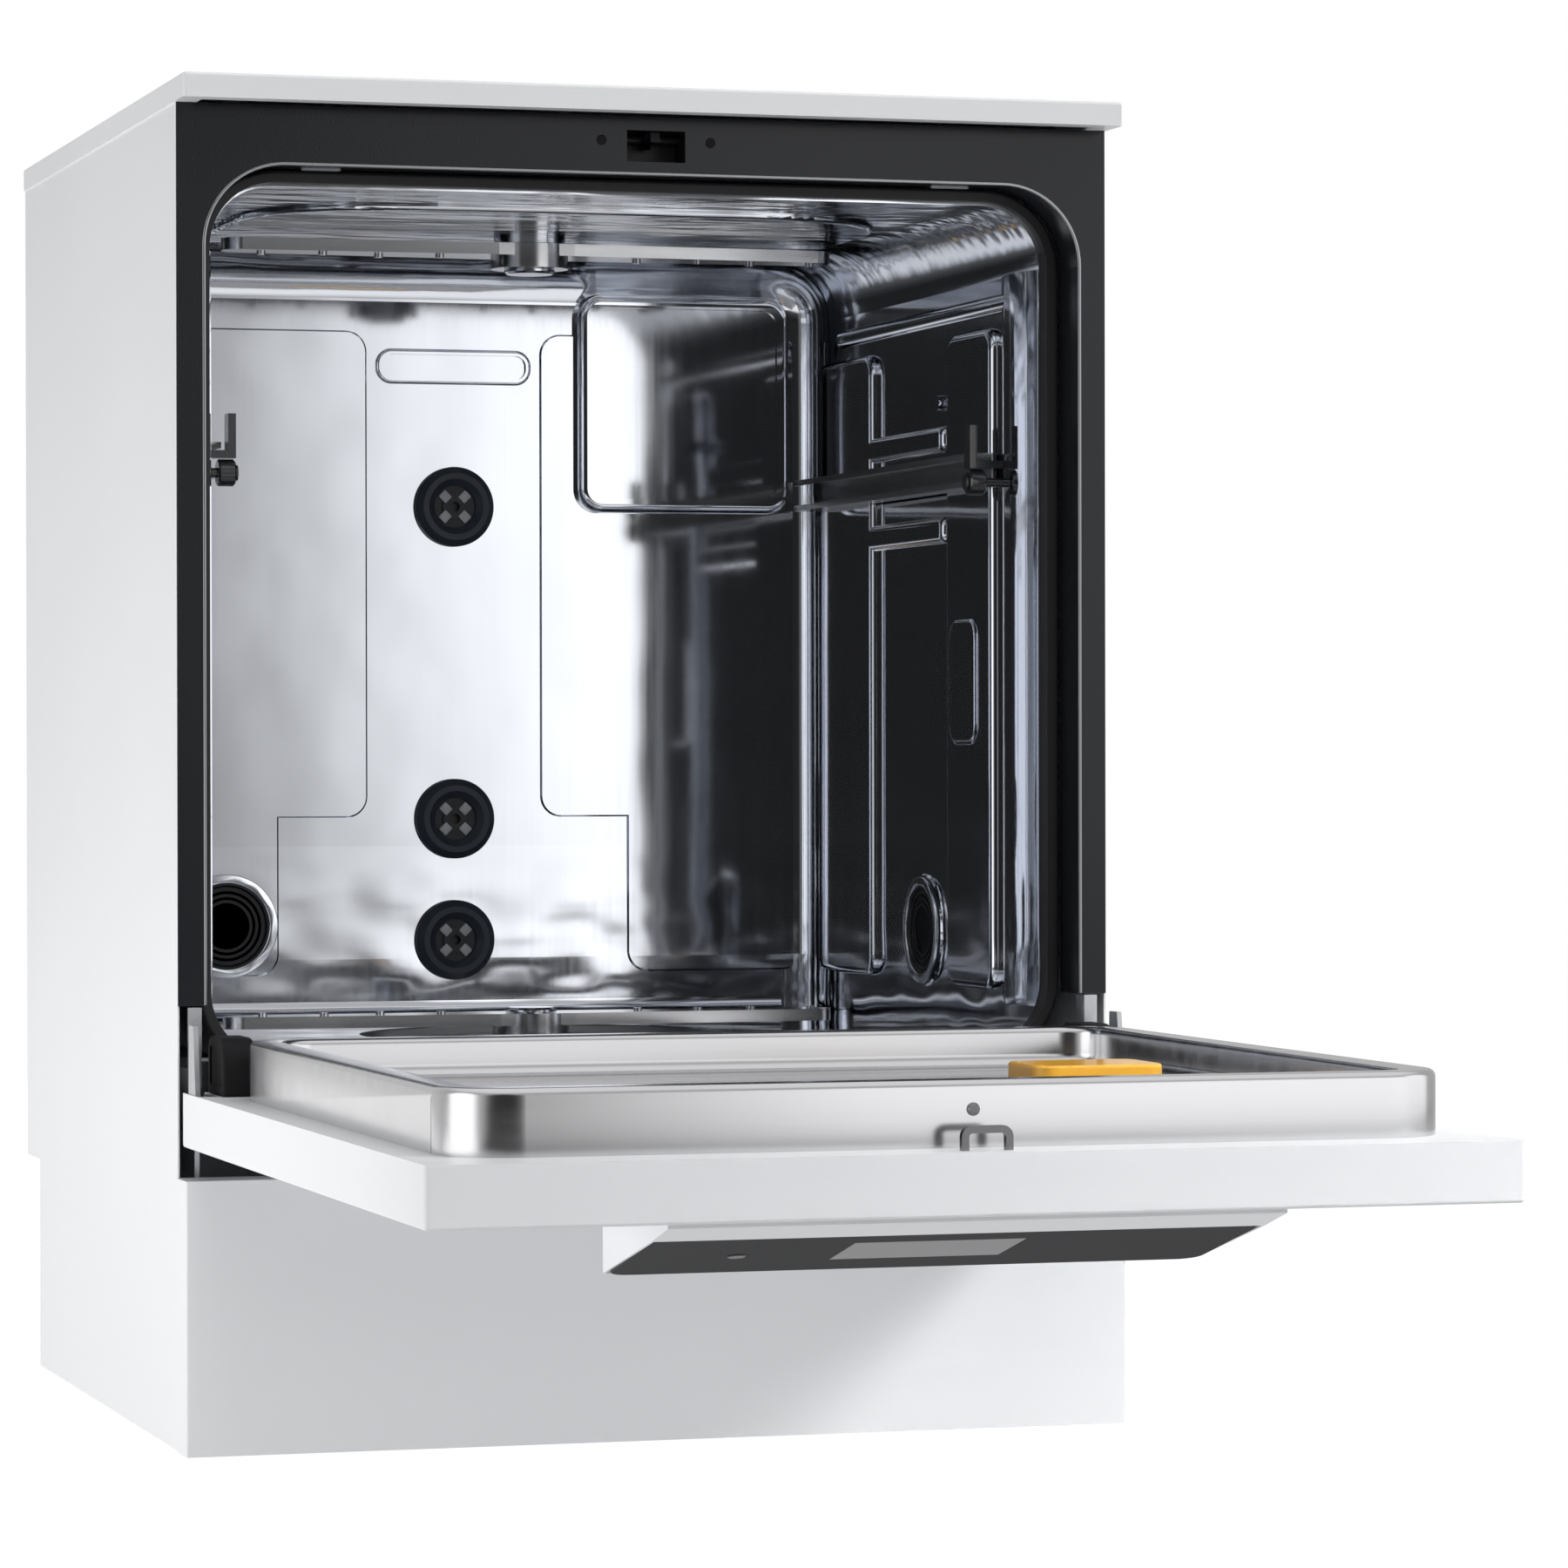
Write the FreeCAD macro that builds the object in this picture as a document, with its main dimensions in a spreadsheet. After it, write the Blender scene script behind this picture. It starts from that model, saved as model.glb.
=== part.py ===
import FreeCAD, Part
import math
import os
import re

import Sketcher
from FreeCAD import Placement, Rotation, Vector

# Undercounter laboratory dishwasher with its drop-down door open, in millimetres.
# X runs to the right seen from the front, Y into the depth, Z up from the floor.
# The origin is the point on the floor under the middle of the cabinet.

SIZES = {
    # Cabinet
    "cab_width": (600, "width over the worktop"),
    "cab_depth": (600, "depth over the worktop"),
    "cab_height": (835, "floor to top of worktop"),
    "top_thick": (15, "worktop thickness"),
    "top_skin": (1.2, "worktop sheet"),
    "top_return": (14, "worktop folded edge"),
    "top_corner": (3, "worktop corner radius"),
    "top_edge": (2, "worktop upper edge radius"),
    "panel_inset": (1.5, "side panel behind the worktop edge"),
    "skin_thick": (1, "outer panel sheet"),
    "floor_gap": (2, "panels above the floor"),
    "fold_width": (14, "folded panel edge"),
    "step_height": (145, "height of the rear service recess"),
    "step_depth": (53, "depth of the rear service recess"),
    "plinth_proud": (2, "plinth in front of the worktop edge"),
    "plinth_gap": (4, "plinth below the closed door"),
    "plinth_corner": (1.5, "plinth corner radius"),
    # Base frame and feet
    "base_level": (20, "underside of the base pan"),
    "base_sheet": (1.5, "base pan sheet"),
    "base_wall": (40, "base pan wall height"),
    "post_thick": (2, "base post sheet"),
    "post_width": (45, "base post width"),
    "post_inset": (13.5, "base posts inside the side panels"),
    "post_rear": (22, "rear posts in front of the tub back"),
    "shelf_width": (39, "width of the ledge under the tub"),
    "foot_inset": (42.5, "feet inside the side panels"),
    "foot_front": (50, "front feet behind the cabinet front"),
    "foot_rear": (38, "rear feet in front of the recess"),
    "foot_radius": (22, "foot pad radius"),
    "foot_pad": (8, "foot pad height"),
    "foot_rod": (5, "foot spindle radius"),
    "foot_nut": (9, "foot collar radius"),
    "foot_boss": (11, "foot boss radius"),
    "boss_height": (24, "foot boss height"),
    "slide_fit": (0.05, "running clearance on a radius"),
    "seat_gap": (0.3, "clearance of seated pieces"),
    # Front frame and gasket
    "frame_setback": (30, "frame face behind the worktop edge"),
    "frame_skin": (1.2, "frame sheet"),
    "frame_side": (18.5, "visible width of the side members"),
    "frame_top": (35.5, "visible height of the top member"),
    "frame_radius": (51, "frame opening corner radius"),
    "frame_foot": (272, "lower end of the side members"),
    "recess_depth": (34.5, "gasket behind the frame face"),
    "gasket_thick": (11, "gasket depth"),
    "gasket_lip": (1.5, "gasket outside the tub wall"),
    "gasket_drop": (9.5, "gasket below the tub floor"),
    "gasket_edge": (2.5, "gasket edge radius"),
    # Wash tub
    "tub_side_gap": (30, "tub wall inside the worktop edge"),
    "tub_head": (45, "ceiling under the worktop"),
    "tub_floor": (239, "height of the floor"),
    "tub_rear_gap": (38, "tub back in front of the cabinet back"),
    "tub_corner": (40, "ceiling corner radius"),
    "tub_sheet": (1, "tub sheet"),
    "press_rise": (1.6, "height of the pressed fields"),
    "press_slope": (1.2, "slope of the pressed edges"),
    "press_corner": (15, "corner radius of the pressed fields"),
    "press_margin": (12, "pressed fields inside the walls"),
    "field_gap": (126, "between the upper rear fields"),
    "field_head": (51, "top of the rear fields under the ceiling"),
    "field_step_rise": (141, "step of the rear fields above the floor"),
    "field_foot_rise": (30, "bottom of the rear and side fields above the floor"),
    "field_narrow": (254, "between the lower rear fields"),
    "slot_width": (113, "width of the pressed slot"),
    "slot_height": (25, "height of the pressed slot"),
    "slot_head": (75.5, "middle of the pressed slot under the ceiling"),
    "slot_rim": (4, "rim of the pressed slot"),
    "slot_rise": (2.6, "height of the slot rim"),
    "slot_edge": (2.2, "edge radius of the slot rim"),
    "bulge_side": (181, "left side of the raised box from the right wall"),
    "bulge_width": (157, "width of the raised box"),
    "bulge_head": (22, "top of the raised box under the ceiling"),
    "bulge_height": (156, "height of the raised box"),
    "bulge_rise": (13, "raised box in front of the back wall"),
    "bulge_corner": (17, "raised box corner radius"),
    "bulge_edge": (6, "raised box edge radius"),
    "bulge_rim": (10, "rim of the raised box"),
    "bulge_dish": (2, "dish inside the rim"),
    "side_front_gap": (79, "front side field behind the tub front"),
    "side_strip": (95, "length of the front side field"),
    "side_rear_gap": (147, "front edge of the rear side field in front of the tub back"),
    "side_margin": (16, "rear edge of the rear side field in front of the tub back"),
    "side_head": (71, "top of the side fields under the ceiling"),
    "side_rise": (6, "height of the side fields"),
    "side_edge": (5, "edge radius of the side fields"),
    "pad_gap": (105, "front of the side pad behind the tub front"),
    "pad_length": (60, "length of the side pad"),
    "pad_rise": (190, "bottom of the side pad above the floor"),
    "tab_gap": (182.5, "front of the side tabs behind the tub front"),
    "tab_height": (18, "height of the side tabs"),
    "tab_low": (327, "lower tab above the floor"),
    "tab_high": (388, "upper tab above the floor"),
    "pad_height": (86, "height of the side pad"),
    "ledge_head": (62, "side rib under the ceiling"),
    "ledge_height": (12, "side rib height"),
    "ledge_gap": (46.5, "front end of the side rib behind the tub front"),
    "ledge_end": (62, "rear end of the side rib in front of the tub back"),
    "stud_gap": (182.5, "side stud behind the tub front"),
    "stud_head": (115, "side stud under the ceiling"),
    "stud_radius": (5, "side stud radius"),
    "stud_rise": (9, "side stud height"),
    "ceiling_half": (215, "half width of the ceiling field"),
    "ceiling_gap": (85, "ceiling field behind the tub front"),
    "ceiling_end": (75, "ceiling field in front of the tub back"),
    "ceiling_corner": (110, "corner radius of the ceiling field"),
    "ceiling_rise": (4, "depth of the ceiling field"),
    "ceiling_edge": (3, "edge radius of the ceiling field"),
    # Sump, filters and heater
    "sump_shift": (23.75, "sump centre in front of the tub middle"),
    "sump_radius": (125, "sump mouth radius"),
    "sump_wall": (3, "sump wall"),
    "sump_lip": (10, "sump flange under the floor"),
    "sump_depth": (103, "sump bottom under the floor"),
    "sump_ledge": (6, "filter plate under the floor"),
    "plate_thick": (1.5, "filter plate"),
    "filter_shift": (45, "fine filter in front of the sump centre"),
    "filter_radius": (38, "fine filter radius"),
    "filter_depth": (70, "fine filter depth"),
    "filter_grip": (7, "fine filter grip height"),
    "heater_ring": (100, "heater ring radius"),
    "heater_tube": (4, "heater tube radius"),
    "heater_drop": (20, "heater under the filter plate"),
    # Spray arms
    "arm_shift": (45, "spray arm axis behind the sump centre"),
    "arm_gap": (60, "spray arm tips inside the tub walls"),
    "arm_root": (21, "spray arm half width at the hub"),
    "arm_tip": (13, "spray arm half width at the tip"),
    "arm_thick": (8, "spray arm thickness"),
    "arm_wall": (2, "spray arm wall"),
    "arm_hub": (26, "spray arm hub radius"),
    "hub_height": (16, "spray arm hub height"),
    "post_shaft": (11, "spray arm post radius"),
    "post_base": (24, "spray arm post base radius"),
    "post_rise": (1, "spray arm post base above the filter plate"),
    "post_drop": (8, "upper post base under the ceiling"),
    "post_nut": (17, "spray arm nut radius"),
    "nut_height": (3, "spray arm nut height"),
    "hub_play": (0.5, "axial play of the hub"),
    "jet_radius": (3, "spray jet radius"),
    "jet_rise": (2, "spray jet height"),
    "feed_radius": (8, "upper feed pipe radius"),
    "feed_lift": (15, "upper feed pipe above the ceiling"),
    # Couplings on the back wall
    "dock_upper_rise": (361.3, "upper coupling above the floor"),
    "dock_middle_rise": (140, "middle coupling above the floor"),
    "dock_lower_rise": (54, "lower coupling above the floor"),
    "dock_radius": (28.25, "coupling collar radius"),
    "dock_rise": (9, "coupling collar in front of the wall"),
    "dock_neck": (19.7, "coupling neck radius"),
    "dock_bore": (17, "coupling bore radius"),
    "dock_mouth": (15, "coupling mouth radius"),
    "dock_lip": (3, "valve seat in front of the wall"),
    "dock_tail": (14, "coupling neck behind the wall"),
    "valve_thick": (6, "valve thickness"),
    "valve_boss": (9, "valve boss radius"),
    "valve_dimple": (3.5, "valve dimple radius"),
    "duct_width": (64, "riser duct width"),
    "duct_depth": (26, "riser duct depth"),
    "duct_wall": (3, "riser duct wall"),
    "duct_foot_rise": (13, "bottom of the riser duct above the floor"),
    "duct_margin": (30, "riser duct above the upper coupling"),
    # Vents
    "vent_inset": (105.5, "rear vent from the left wall"),
    "vent_lift": (65.3, "vents above the floor"),
    "vent_radius": (36, "vent ring radius"),
    "vent_hole": (30, "vent hole radius"),
    "vent_rise": (2.5, "vent ring height"),
    "vent_shift": (7.75, "side vent in front of the tub middle"),
    # Basket rails
    "rail_lift": (360, "rails above the floor"),
    "rail_height": (22, "rail height"),
    "rail_width": (16, "rail width"),
    "rail_sheet": (1.2, "rail sheet"),
    "rail_lip": (4, "rail lip"),
    "rail_start": (73.5, "rails behind the tub front"),
    "rail_end": (15, "rails in front of the tub back"),
    "catch_length": (22, "catch length"),
    "catch_base": (3, "catch base thickness"),
    "catch_reach": (28, "catch reach from the wall"),
    "catch_arm": (5, "catch arm thickness"),
    "catch_rise": (39, "catch finger above the rail bottom"),
    "catch_knee": (11, "catch arm above the rail bottom"),
    "finger_thick": (5, "catch finger thickness"),
    "roller_radius": (8.5, "roller radius"),
    "roller_width": (11, "roller width"),
    "roller_pin": (3, "roller pin radius"),
    "roller_head": (5, "roller pin head radius"),
    "head_thick": (1.5, "roller pin head"),
    # Base equipment
    "pump_radius": (50, "pump volute radius"),
    "pump_half": (30, "pump volute half width"),
    "pump_level": (78, "pump axis height"),
    "pump_pipe": (20, "pump inlet radius"),
    "motor_radius": (42, "motor radius"),
    "motor_length": (140, "motor length"),
    "saddle_width": (60, "motor saddle width"),
    "saddle_margin": (12, "motor saddle inside the motor ends"),
    "saddle_overlap": (12, "motor saddle into the motor"),
    "inlet_inset": (117.5, "first water inlet inside the side panel"),
    "inlet_pitch": (50, "water inlet spacing"),
    "inlet_level": (95, "height of the inlets and the gland"),
    "inlet_thread": (13.2, "water inlet thread radius"),
    "inlet_neck": (14, "water inlet neck radius"),
    "inlet_nut": (17, "water inlet nut radius"),
    "nut_thick": (3, "water inlet nut thickness"),
    "inlet_bore": (9, "water inlet bore radius"),
    "inlet_length": (20, "water inlet thread length"),
    "inlet_body": (17, "water valve body radius"),
    "inlet_tail": (32, "water valve body length"),
    "gland_inset": (117.5, "cable gland inside the side panel"),
    "gland_thread": (9.7, "cable gland thread radius"),
    "gland_bore": (5, "cable gland bore radius"),
    "gland_head": (14, "cable gland head radius"),
    "gland_length": (16, "cable gland length"),
    # Lock
    "lock_across": (3, "lock from the middle"),
    "lock_head": (18.5, "lock opening middle under the worktop"),
    "lock_width": (37.5, "lock opening width"),
    "lock_height": (19.5, "lock opening height"),
    "lock_depth": (36, "lock housing depth"),
    "lock_body": (54, "lock housing width"),
    "lock_wall": (3, "lock housing wall"),
    "lock_slack": (3, "lock chamber beyond the opening"),
    "hook_back": (27.5, "hook axis behind the frame face"),
    "hook_lift": (6.5, "hook axis above the opening middle"),
    "hook_pin": (2.5, "hook pin radius"),
    "hook_ring": (6, "hook ring radius"),
    "hook_thick": (6, "hook thickness"),
    "dot_across": (35, "frame screws from the lock"),
    "dot_head": (15.4, "frame screws under the worktop"),
    "dot_radius": (3.2, "frame screw head radius"),
    "dot_rise": (0.6, "frame screw head height"),
    # Door
    "door_side_gap": (2.8, "door inside the worktop width"),
    "door_gap": (1, "closed door in front of the frame"),
    "door_thick": (33, "door panel depth"),
    "door_skin": (1, "door panel sheet"),
    "door_bottom": (172, "lower edge of the closed door"),
    "top_gap": (2, "closed door under the worktop"),
    "door_corner": (3, "door corner radius"),
    "door_edge": (2, "door outer edge radius"),
    "pivot_rise": (21.5, "hinge axis above the closed lower edge"),
    "pivot_inset": (6.5, "hinge axis behind the door face"),
    "door_flange": (37, "door inner flange at the sides"),
    "liner_start": (62, "liner from the lower edge"),
    "liner_strip": (38, "door strip above the liner"),
    "liner_side_gap": (4.5, "liner inside the frame opening"),
    "liner_seat": (22, "flange under the liner ends"),
    "liner_corner": (40, "liner corner radius"),
    "liner_edge": (4, "liner edge radius"),
    "liner_sheet": (1, "liner sheet"),
    "liner_rim": (20, "liner rim width"),
    "tray_depth": (24, "liner tray depth"),
    "tray_corner": (24, "liner tray corner radius"),
    "pin_radius": (3, "hinge pin radius"),
    "ear_radius": (5.2, "hinge ear radius"),
    "bracket_thick": (3, "hinge bracket sheet"),
    "arm_sheet": (3, "hinge arm sheet"),
    "arm_play": (6, "hinge arm beside the bracket"),
    "slot_side": (0.5, "hinge slot beyond the bracket"),
    "flag_width": (5.5, "hinge bracket front flange beside its sheet"),
    "flag_overlap": (10, "hinge bracket front flange below the bracket top"),
    "arm_length": (150, "hinge arm inside the door"),
    "arm_height": (24, "hinge arm height inside the door"),
    "ear_top": (68, "hinge arm ear above the axis"),
    "ear_width": (16, "hinge arm ear width"),
    "bracket_foot": (120, "lower end of the hinge bracket"),
    "bracket_top": (232, "upper end of the hinge bracket"),
    "bracket_front": (8, "hinge bracket behind the frame face"),
    "hinge_slot": (46, "hinge slot from the door's lower edge"),
    "cover_start": (8, "hinge cover from the lower edge"),
    "cover_length": (48, "hinge cover length"),
    "cover_width": (20, "hinge cover width"),
    "cover_side": (1, "hinge cover inside the post face"),
    "cover_height": (35, "hinge cover height"),
    "cover_slope": (14, "hinge cover sloped ends"),
    "cover_wall": (2, "hinge cover wall"),
    # Striker
    "loop_half": (12, "striker half width"),
    "loop_wire": (2, "striker wire radius"),
    "loop_rise": (13, "striker height"),
    "loop_corner": (6, "striker corner radius"),
    # Control handle
    "grip_side": (129.2, "control handle inside the door edge"),
    "grip_head": (14, "upper end of the control handle under the door edge"),
    "grip_brow": (3, "control handle at its upper end"),
    "glass_head": (46.5, "upper edge of the glass under the door edge"),
    "glass_lead": (12, "glass upper edge in front of the door"),
    "glass_run": (97, "glass extent along the door"),
    "glass_drop": (25.9, "glass extent away from the door"),
    "glass_thick": (3, "glass thickness"),
    "glass_margin": (1.8, "glass inside the handle ends"),
    "grip_lip": (9, "handle lip below the glass"),
    "grip_nose": (2.5, "handle lip in front of the glass"),
    "grip_corner": (12, "handle corner radius"),
    "grip_depth": (26, "finger pocket depth"),
    "grip_wall": (4, "finger pocket wall"),
    "grip_inset": (24, "finger pocket inside the handle ends"),
    "screen_half": (47, "display half width"),
    "screen_across": (-5, "display from the middle"),
    "screen_start": (20, "display from the upper glass edge"),
    "screen_run": (46.5, "display extent along the door"),
    "key_side": (59.5, "button inside the end of the control handle"),
    "key_run": (48, "power button from the upper glass edge"),
    "key_radius": (5, "power button radius"),
    "key_rise": (0.8, "power button above the glass"),
    "key_length": (6, "power button length"),
    "key_fit": (0.1, "power button clearance"),
    "key_travel": (1.2, "power button travel"),
    # Dispenser
    "disp_inset": (137.2, "dispenser inside the door edge"),
    "disp_along": (341, "dispenser from the lower edge"),
    "disp_width": (92, "dispenser flange width"),
    "disp_length": (84, "dispenser flange length"),
    "disp_flange": (2.5, "dispenser flange thickness"),
    "disp_margin": (6, "dispenser flange beyond the tub"),
    "disp_depth": (28, "dispenser tub depth"),
    "disp_wall": (3, "dispenser tub wall"),
    "disp_corner": (12, "dispenser corner radius"),
    "lid_width": (78, "dispenser lid width"),
    "lid_length": (62, "dispenser lid length"),
    "lid_thick": (14, "dispenser lid thickness"),
    "lid_edge": (2, "dispenser lid edge radius"),
    "lid_barrel": (3, "dispenser lid barrel radius"),
    "lid_pin": (1.5, "dispenser lid pin radius"),
    "lid_tongue": (20, "dispenser lid barrel half length"),
    "lid_setback": (36, "dispenser lid axis behind its middle"),
    "lid_ear": (5, "dispenser lid ear"),
    # Screws
    "screw_radius": (3.5, "screw head radius"),
    "screw_rise": (1.8, "screw head height"),
    "screw_level": (20, "liner screw above the door flange"),
    "rear_screw_foot": (190, "lowest rear screw"),
    "rear_screw_head": (45, "highest rear screw under the worktop"),
    "rear_screw_edge": (8, "rear screw from the panel edge"),
}

# Places worked out from the sizes.
HALF = "(cab_width / 2 - panel_inset)"
INNER = f"({HALF} - skin_thick)"
FRONT = "(-cab_depth / 2)"
BACK = "(cab_depth / 2)"
STEP = f"({BACK} - step_depth)"
LID = "(cab_height - top_thick)"
PLINTH = f"({FRONT} - plinth_proud)"
PLINTH_TOP = "(door_bottom - plinth_gap)"
BASE_TOP = "(base_level + base_sheet)"
FRAME = f"({FRONT} + frame_setback)"
FRAME_BACK = f"({FRAME} + frame_skin)"
OPEN_HALF = f"({HALF} - frame_side)"
OPEN_TOP = f"({LID} - frame_top)"
SEAL = f"({FRAME} + recess_depth)"
TUB = f"({SEAL} + gasket_thick)"
TUB_BACK = f"({TUB} + tub_depth)"
WALL = "(tub_width / 2)"
TUB_LOW = "(tub_floor - tub_sheet)"
SEAL_LOW = "(tub_floor - gasket_drop)"
PIVOT_Z = "(door_bottom + pivot_rise)"
PIVOT_Y = f"({FRAME} - door_gap - door_thick + pivot_inset)"
DOOR_HALF = "(cab_width / 2 - door_side_gap)"
DOOR_LOW = f"({PIVOT_Z} - pivot_inset)"
DOOR_HIGH = f"({DOOR_LOW} + door_thick)"
DOOR_REAR = f"({PIVOT_Y} + pivot_rise)"
DOOR_LENGTH = f"({LID} - top_gap - door_bottom)"
DOOR_FRONT = f"({DOOR_REAR} - {DOOR_LENGTH})"
LINER_HALF = f"({OPEN_HALF} - liner_side_gap)"
LINER_REAR = f"({DOOR_REAR} - liner_start)"
LINER_FRONT = f"({DOOR_FRONT} + liner_strip)"
LINER_RISE = "(recess_depth + door_gap - seat_gap)"
LINER_TOP = f"({DOOR_HIGH} + {LINER_RISE})"
TRAY = f"({LINER_TOP} - tray_depth)"
BRACKET_OUT = "(post_face + bracket_thick)"
ARM_IN = f"({BRACKET_OUT} + arm_play)"
ARM_OUT = f"({ARM_IN} + arm_sheet)"
DERIVED = {
    "tub_width": "cab_width - 2 * tub_side_gap",
    "tub_top": f"{LID} - tub_head",
    "tub_depth": f"{BACK} - tub_rear_gap - {TUB}",
    "tub_middle": f"{TUB} + tub_depth / 2",
    "field_top": "tub_top - field_head",
    "field_step": "tub_floor + field_step_rise",
    "field_foot": "tub_floor + field_foot_rise",
    "slot_level": "tub_top - slot_head",
    "bulge_left": "tub_width / 2 - bulge_side",
    "bulge_foot": "tub_top - bulge_head - bulge_height",
    "side_front": f"{TUB} + side_front_gap",
    "side_rear": f"{TUB_BACK} - side_rear_gap",
    "side_top": "tub_top - side_head",
    "side_foot": "field_foot",
    "pad_front": f"{TUB} + pad_gap",
    "pad_foot": "tub_floor + pad_rise",
    "tab_front": f"{TUB} + tab_gap",
    "tab_length": "side_rear - tab_front + press_corner",
    "ledge_level": "tub_top - ledge_head",
    "ledge_front": f"{TUB} + ledge_gap",
    "ledge_length": "tub_depth - ledge_gap - ledge_end",
    "sump_place": "tub_middle - sump_shift",
    "filter_place": "sump_place - filter_shift",
    "arm_place": "sump_place + arm_shift",
    "arm_reach": "tub_width / 2 - arm_gap",
    "dock_upper": "tub_floor + dock_upper_rise",
    "dock_middle": "tub_floor + dock_middle_rise",
    "dock_lower": "tub_floor + dock_lower_rise",
    "duct_foot": "tub_floor + duct_foot_rise",
    "vent_across": "tub_width / 2 - vent_inset",
    "vent_level": "tub_floor + vent_lift",
    "vent_place": "tub_middle - vent_shift",
    "rail_foot": "tub_floor + rail_lift",
    "rail_front": f"{TUB} + rail_start",
    "rail_length": "tub_depth - rail_start - rail_end",
    "post_face": f"{INNER} - post_inset",
    "post_front": "tub_sheet + post_width",
    "foot_across": f"{INNER} - foot_inset",
    "inlet_across": f"{INNER} - inlet_inset",
    "gland_across": f"{INNER} - gland_inset",
    "lock_level": f"{LID} - lock_head",
    "dot_level": f"{LID} - dot_head",
    "grip_half": f"{DOOR_HALF} - grip_side",
    "grip_top": f"{DOOR_LENGTH} - grip_head",
    "glass_start": f"{DOOR_LENGTH} - glass_head",
    "disp_across": f"{DOOR_HALF} - disp_inset",
    "key_across": "grip_half - key_side",
    "rear_screw_pitch": f"({LID} - rear_screw_head - rear_screw_foot) / 3",
}
DUCT_TOP = "(dock_upper + duct_margin)"
GLASS_LENGTH = "sqrt(glass_run * glass_run + glass_drop * glass_drop)"

doc = FreeCAD.newDocument("laboratory_dishwasher")
sheet = doc.addObject("Spreadsheet::Sheet", "dims")
for row, (alias, (number, note)) in enumerate(SIZES.items(), start=1):
    sheet.set(f"A{row}", note)
    sheet.set(f"B{row}", str(number))
    sheet.setAlias(f"B{row}", alias)
doc.recompute()

WORD = re.compile(r"[a-z][a-z_]+")
FLAT = Rotation()
FACING = Rotation(Vector(1, 0, 0), 90)
SIDEWAYS = Rotation(Vector(1, 1, 1), 120)
AWAY = Rotation(Vector(1, 0, 0), -90)
TO_LEFT = Rotation(Vector(0, 1, 0), -90)
TO_RIGHT = Rotation(Vector(0, 1, 0), 90)
DOWN = Rotation(Vector(1, 0, 0), 180)

nodes = []


def formula(text):
    """Turn the size names in a formula into references to the sheet."""
    return WORD.sub(reference, str(text))


def reference(word):
    name = word.group()
    if name in DERIVED:
        return f"({formula(DERIVED[name])})"
    return name if name == "sqrt" else "dims." + name


def bind(thing, **formulas):
    """Bind properties of an object to formulas."""
    for name, text in formulas.items():
        thing.setExpression(name, formula(text))


def place(thing, at, turn=FLAT):
    """Put an object at a point given by three formulas."""
    thing.Placement = Placement(Vector(), turn)
    for axis, text in zip("xyz", at):
        thing.setExpression(f"Placement.Base.{axis}", formula(text))


def node(label, thing):
    """Name a finished sub-part."""
    thing.Label = label
    nodes.append(thing)
    return thing


def slab(name, across, depth, height):
    """Box between pairs of formulas along X, Y and Z."""
    made = doc.addObject("Part::Box", name)
    low, high = zip(across, depth, height)
    sizes = [f"({b}) - ({a})" for a, b in zip(low, high)]
    bind(made, Length=sizes[0], Width=sizes[1], Height=sizes[2])
    place(made, low)
    return made


def rod(name, at, turn, radius, length):
    """Cylinder from a point along a direction."""
    made = doc.addObject("Part::Cylinder", name)
    bind(made, Radius=radius, Height=length)
    place(made, at, turn)
    return made


def join(name, *pieces):
    made = doc.addObject("Part::MultiFuse", name)
    made.Shapes = list(pieces)
    made.Refine = True
    return made


def cut(name, base, *tools):
    made = doc.addObject("Part::Cut", name)
    made.Base = base
    made.Tool = tools[0] if len(tools) == 1 else join(name + "_tools", *tools)
    made.Refine = True
    return made


def mirror(name, source):
    """Right-hand copy of a left-hand piece."""
    made = doc.addObject("Part::Mirroring", name)
    made.Source = source
    made.Normal = Vector(1, 0, 0)
    return made


def upright(edge):
    """True for a straight edge along the local Z axis."""
    start, end = edge.Vertexes[0].Point, edge.Vertexes[-1].Point
    return abs(start.z - end.z) > 1e-6 and math.hypot(start.x - end.x, start.y - end.y) < 1e-6


def soften(body, kind, size, wanted):
    """Round or chamfer the edges of a body's tip that a test picks."""
    doc.recompute()
    tip = body.Tip
    names = [f"Edge{i}" for i, edge in enumerate(tip.Shape.Edges, start=1) if wanted(edge)]
    made = body.newObject(f"PartDesign::{kind}", body.Name + "_" + kind.lower())
    made.Base = (tip, names)
    bind(made, **{"Radius" if kind == "Fillet" else "Size": size})
    body.Tip = made


def rounded(name, turn, at, size, radius, depth, rim=None, kind="Fillet"):
    """Block with rounded upright edges and, where asked, a softened far rim."""
    body = doc.addObject("PartDesign::Body", name)
    block = body.newObject("PartDesign::AdditiveBox", name + "_block")
    bind(block, Length=size[0], Width=size[1], Height=depth)
    body.Tip = block
    soften(body, "Fillet", radius, upright)
    if rim:
        doc.recompute()
        top = body.Tip.Shape.BoundBox.ZMax
        soften(body, kind, rim, lambda edge: all(abs(v.Z - top) < 1e-6 for v in edge.Vertexes))
    place(body, at, turn)
    return body


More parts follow.
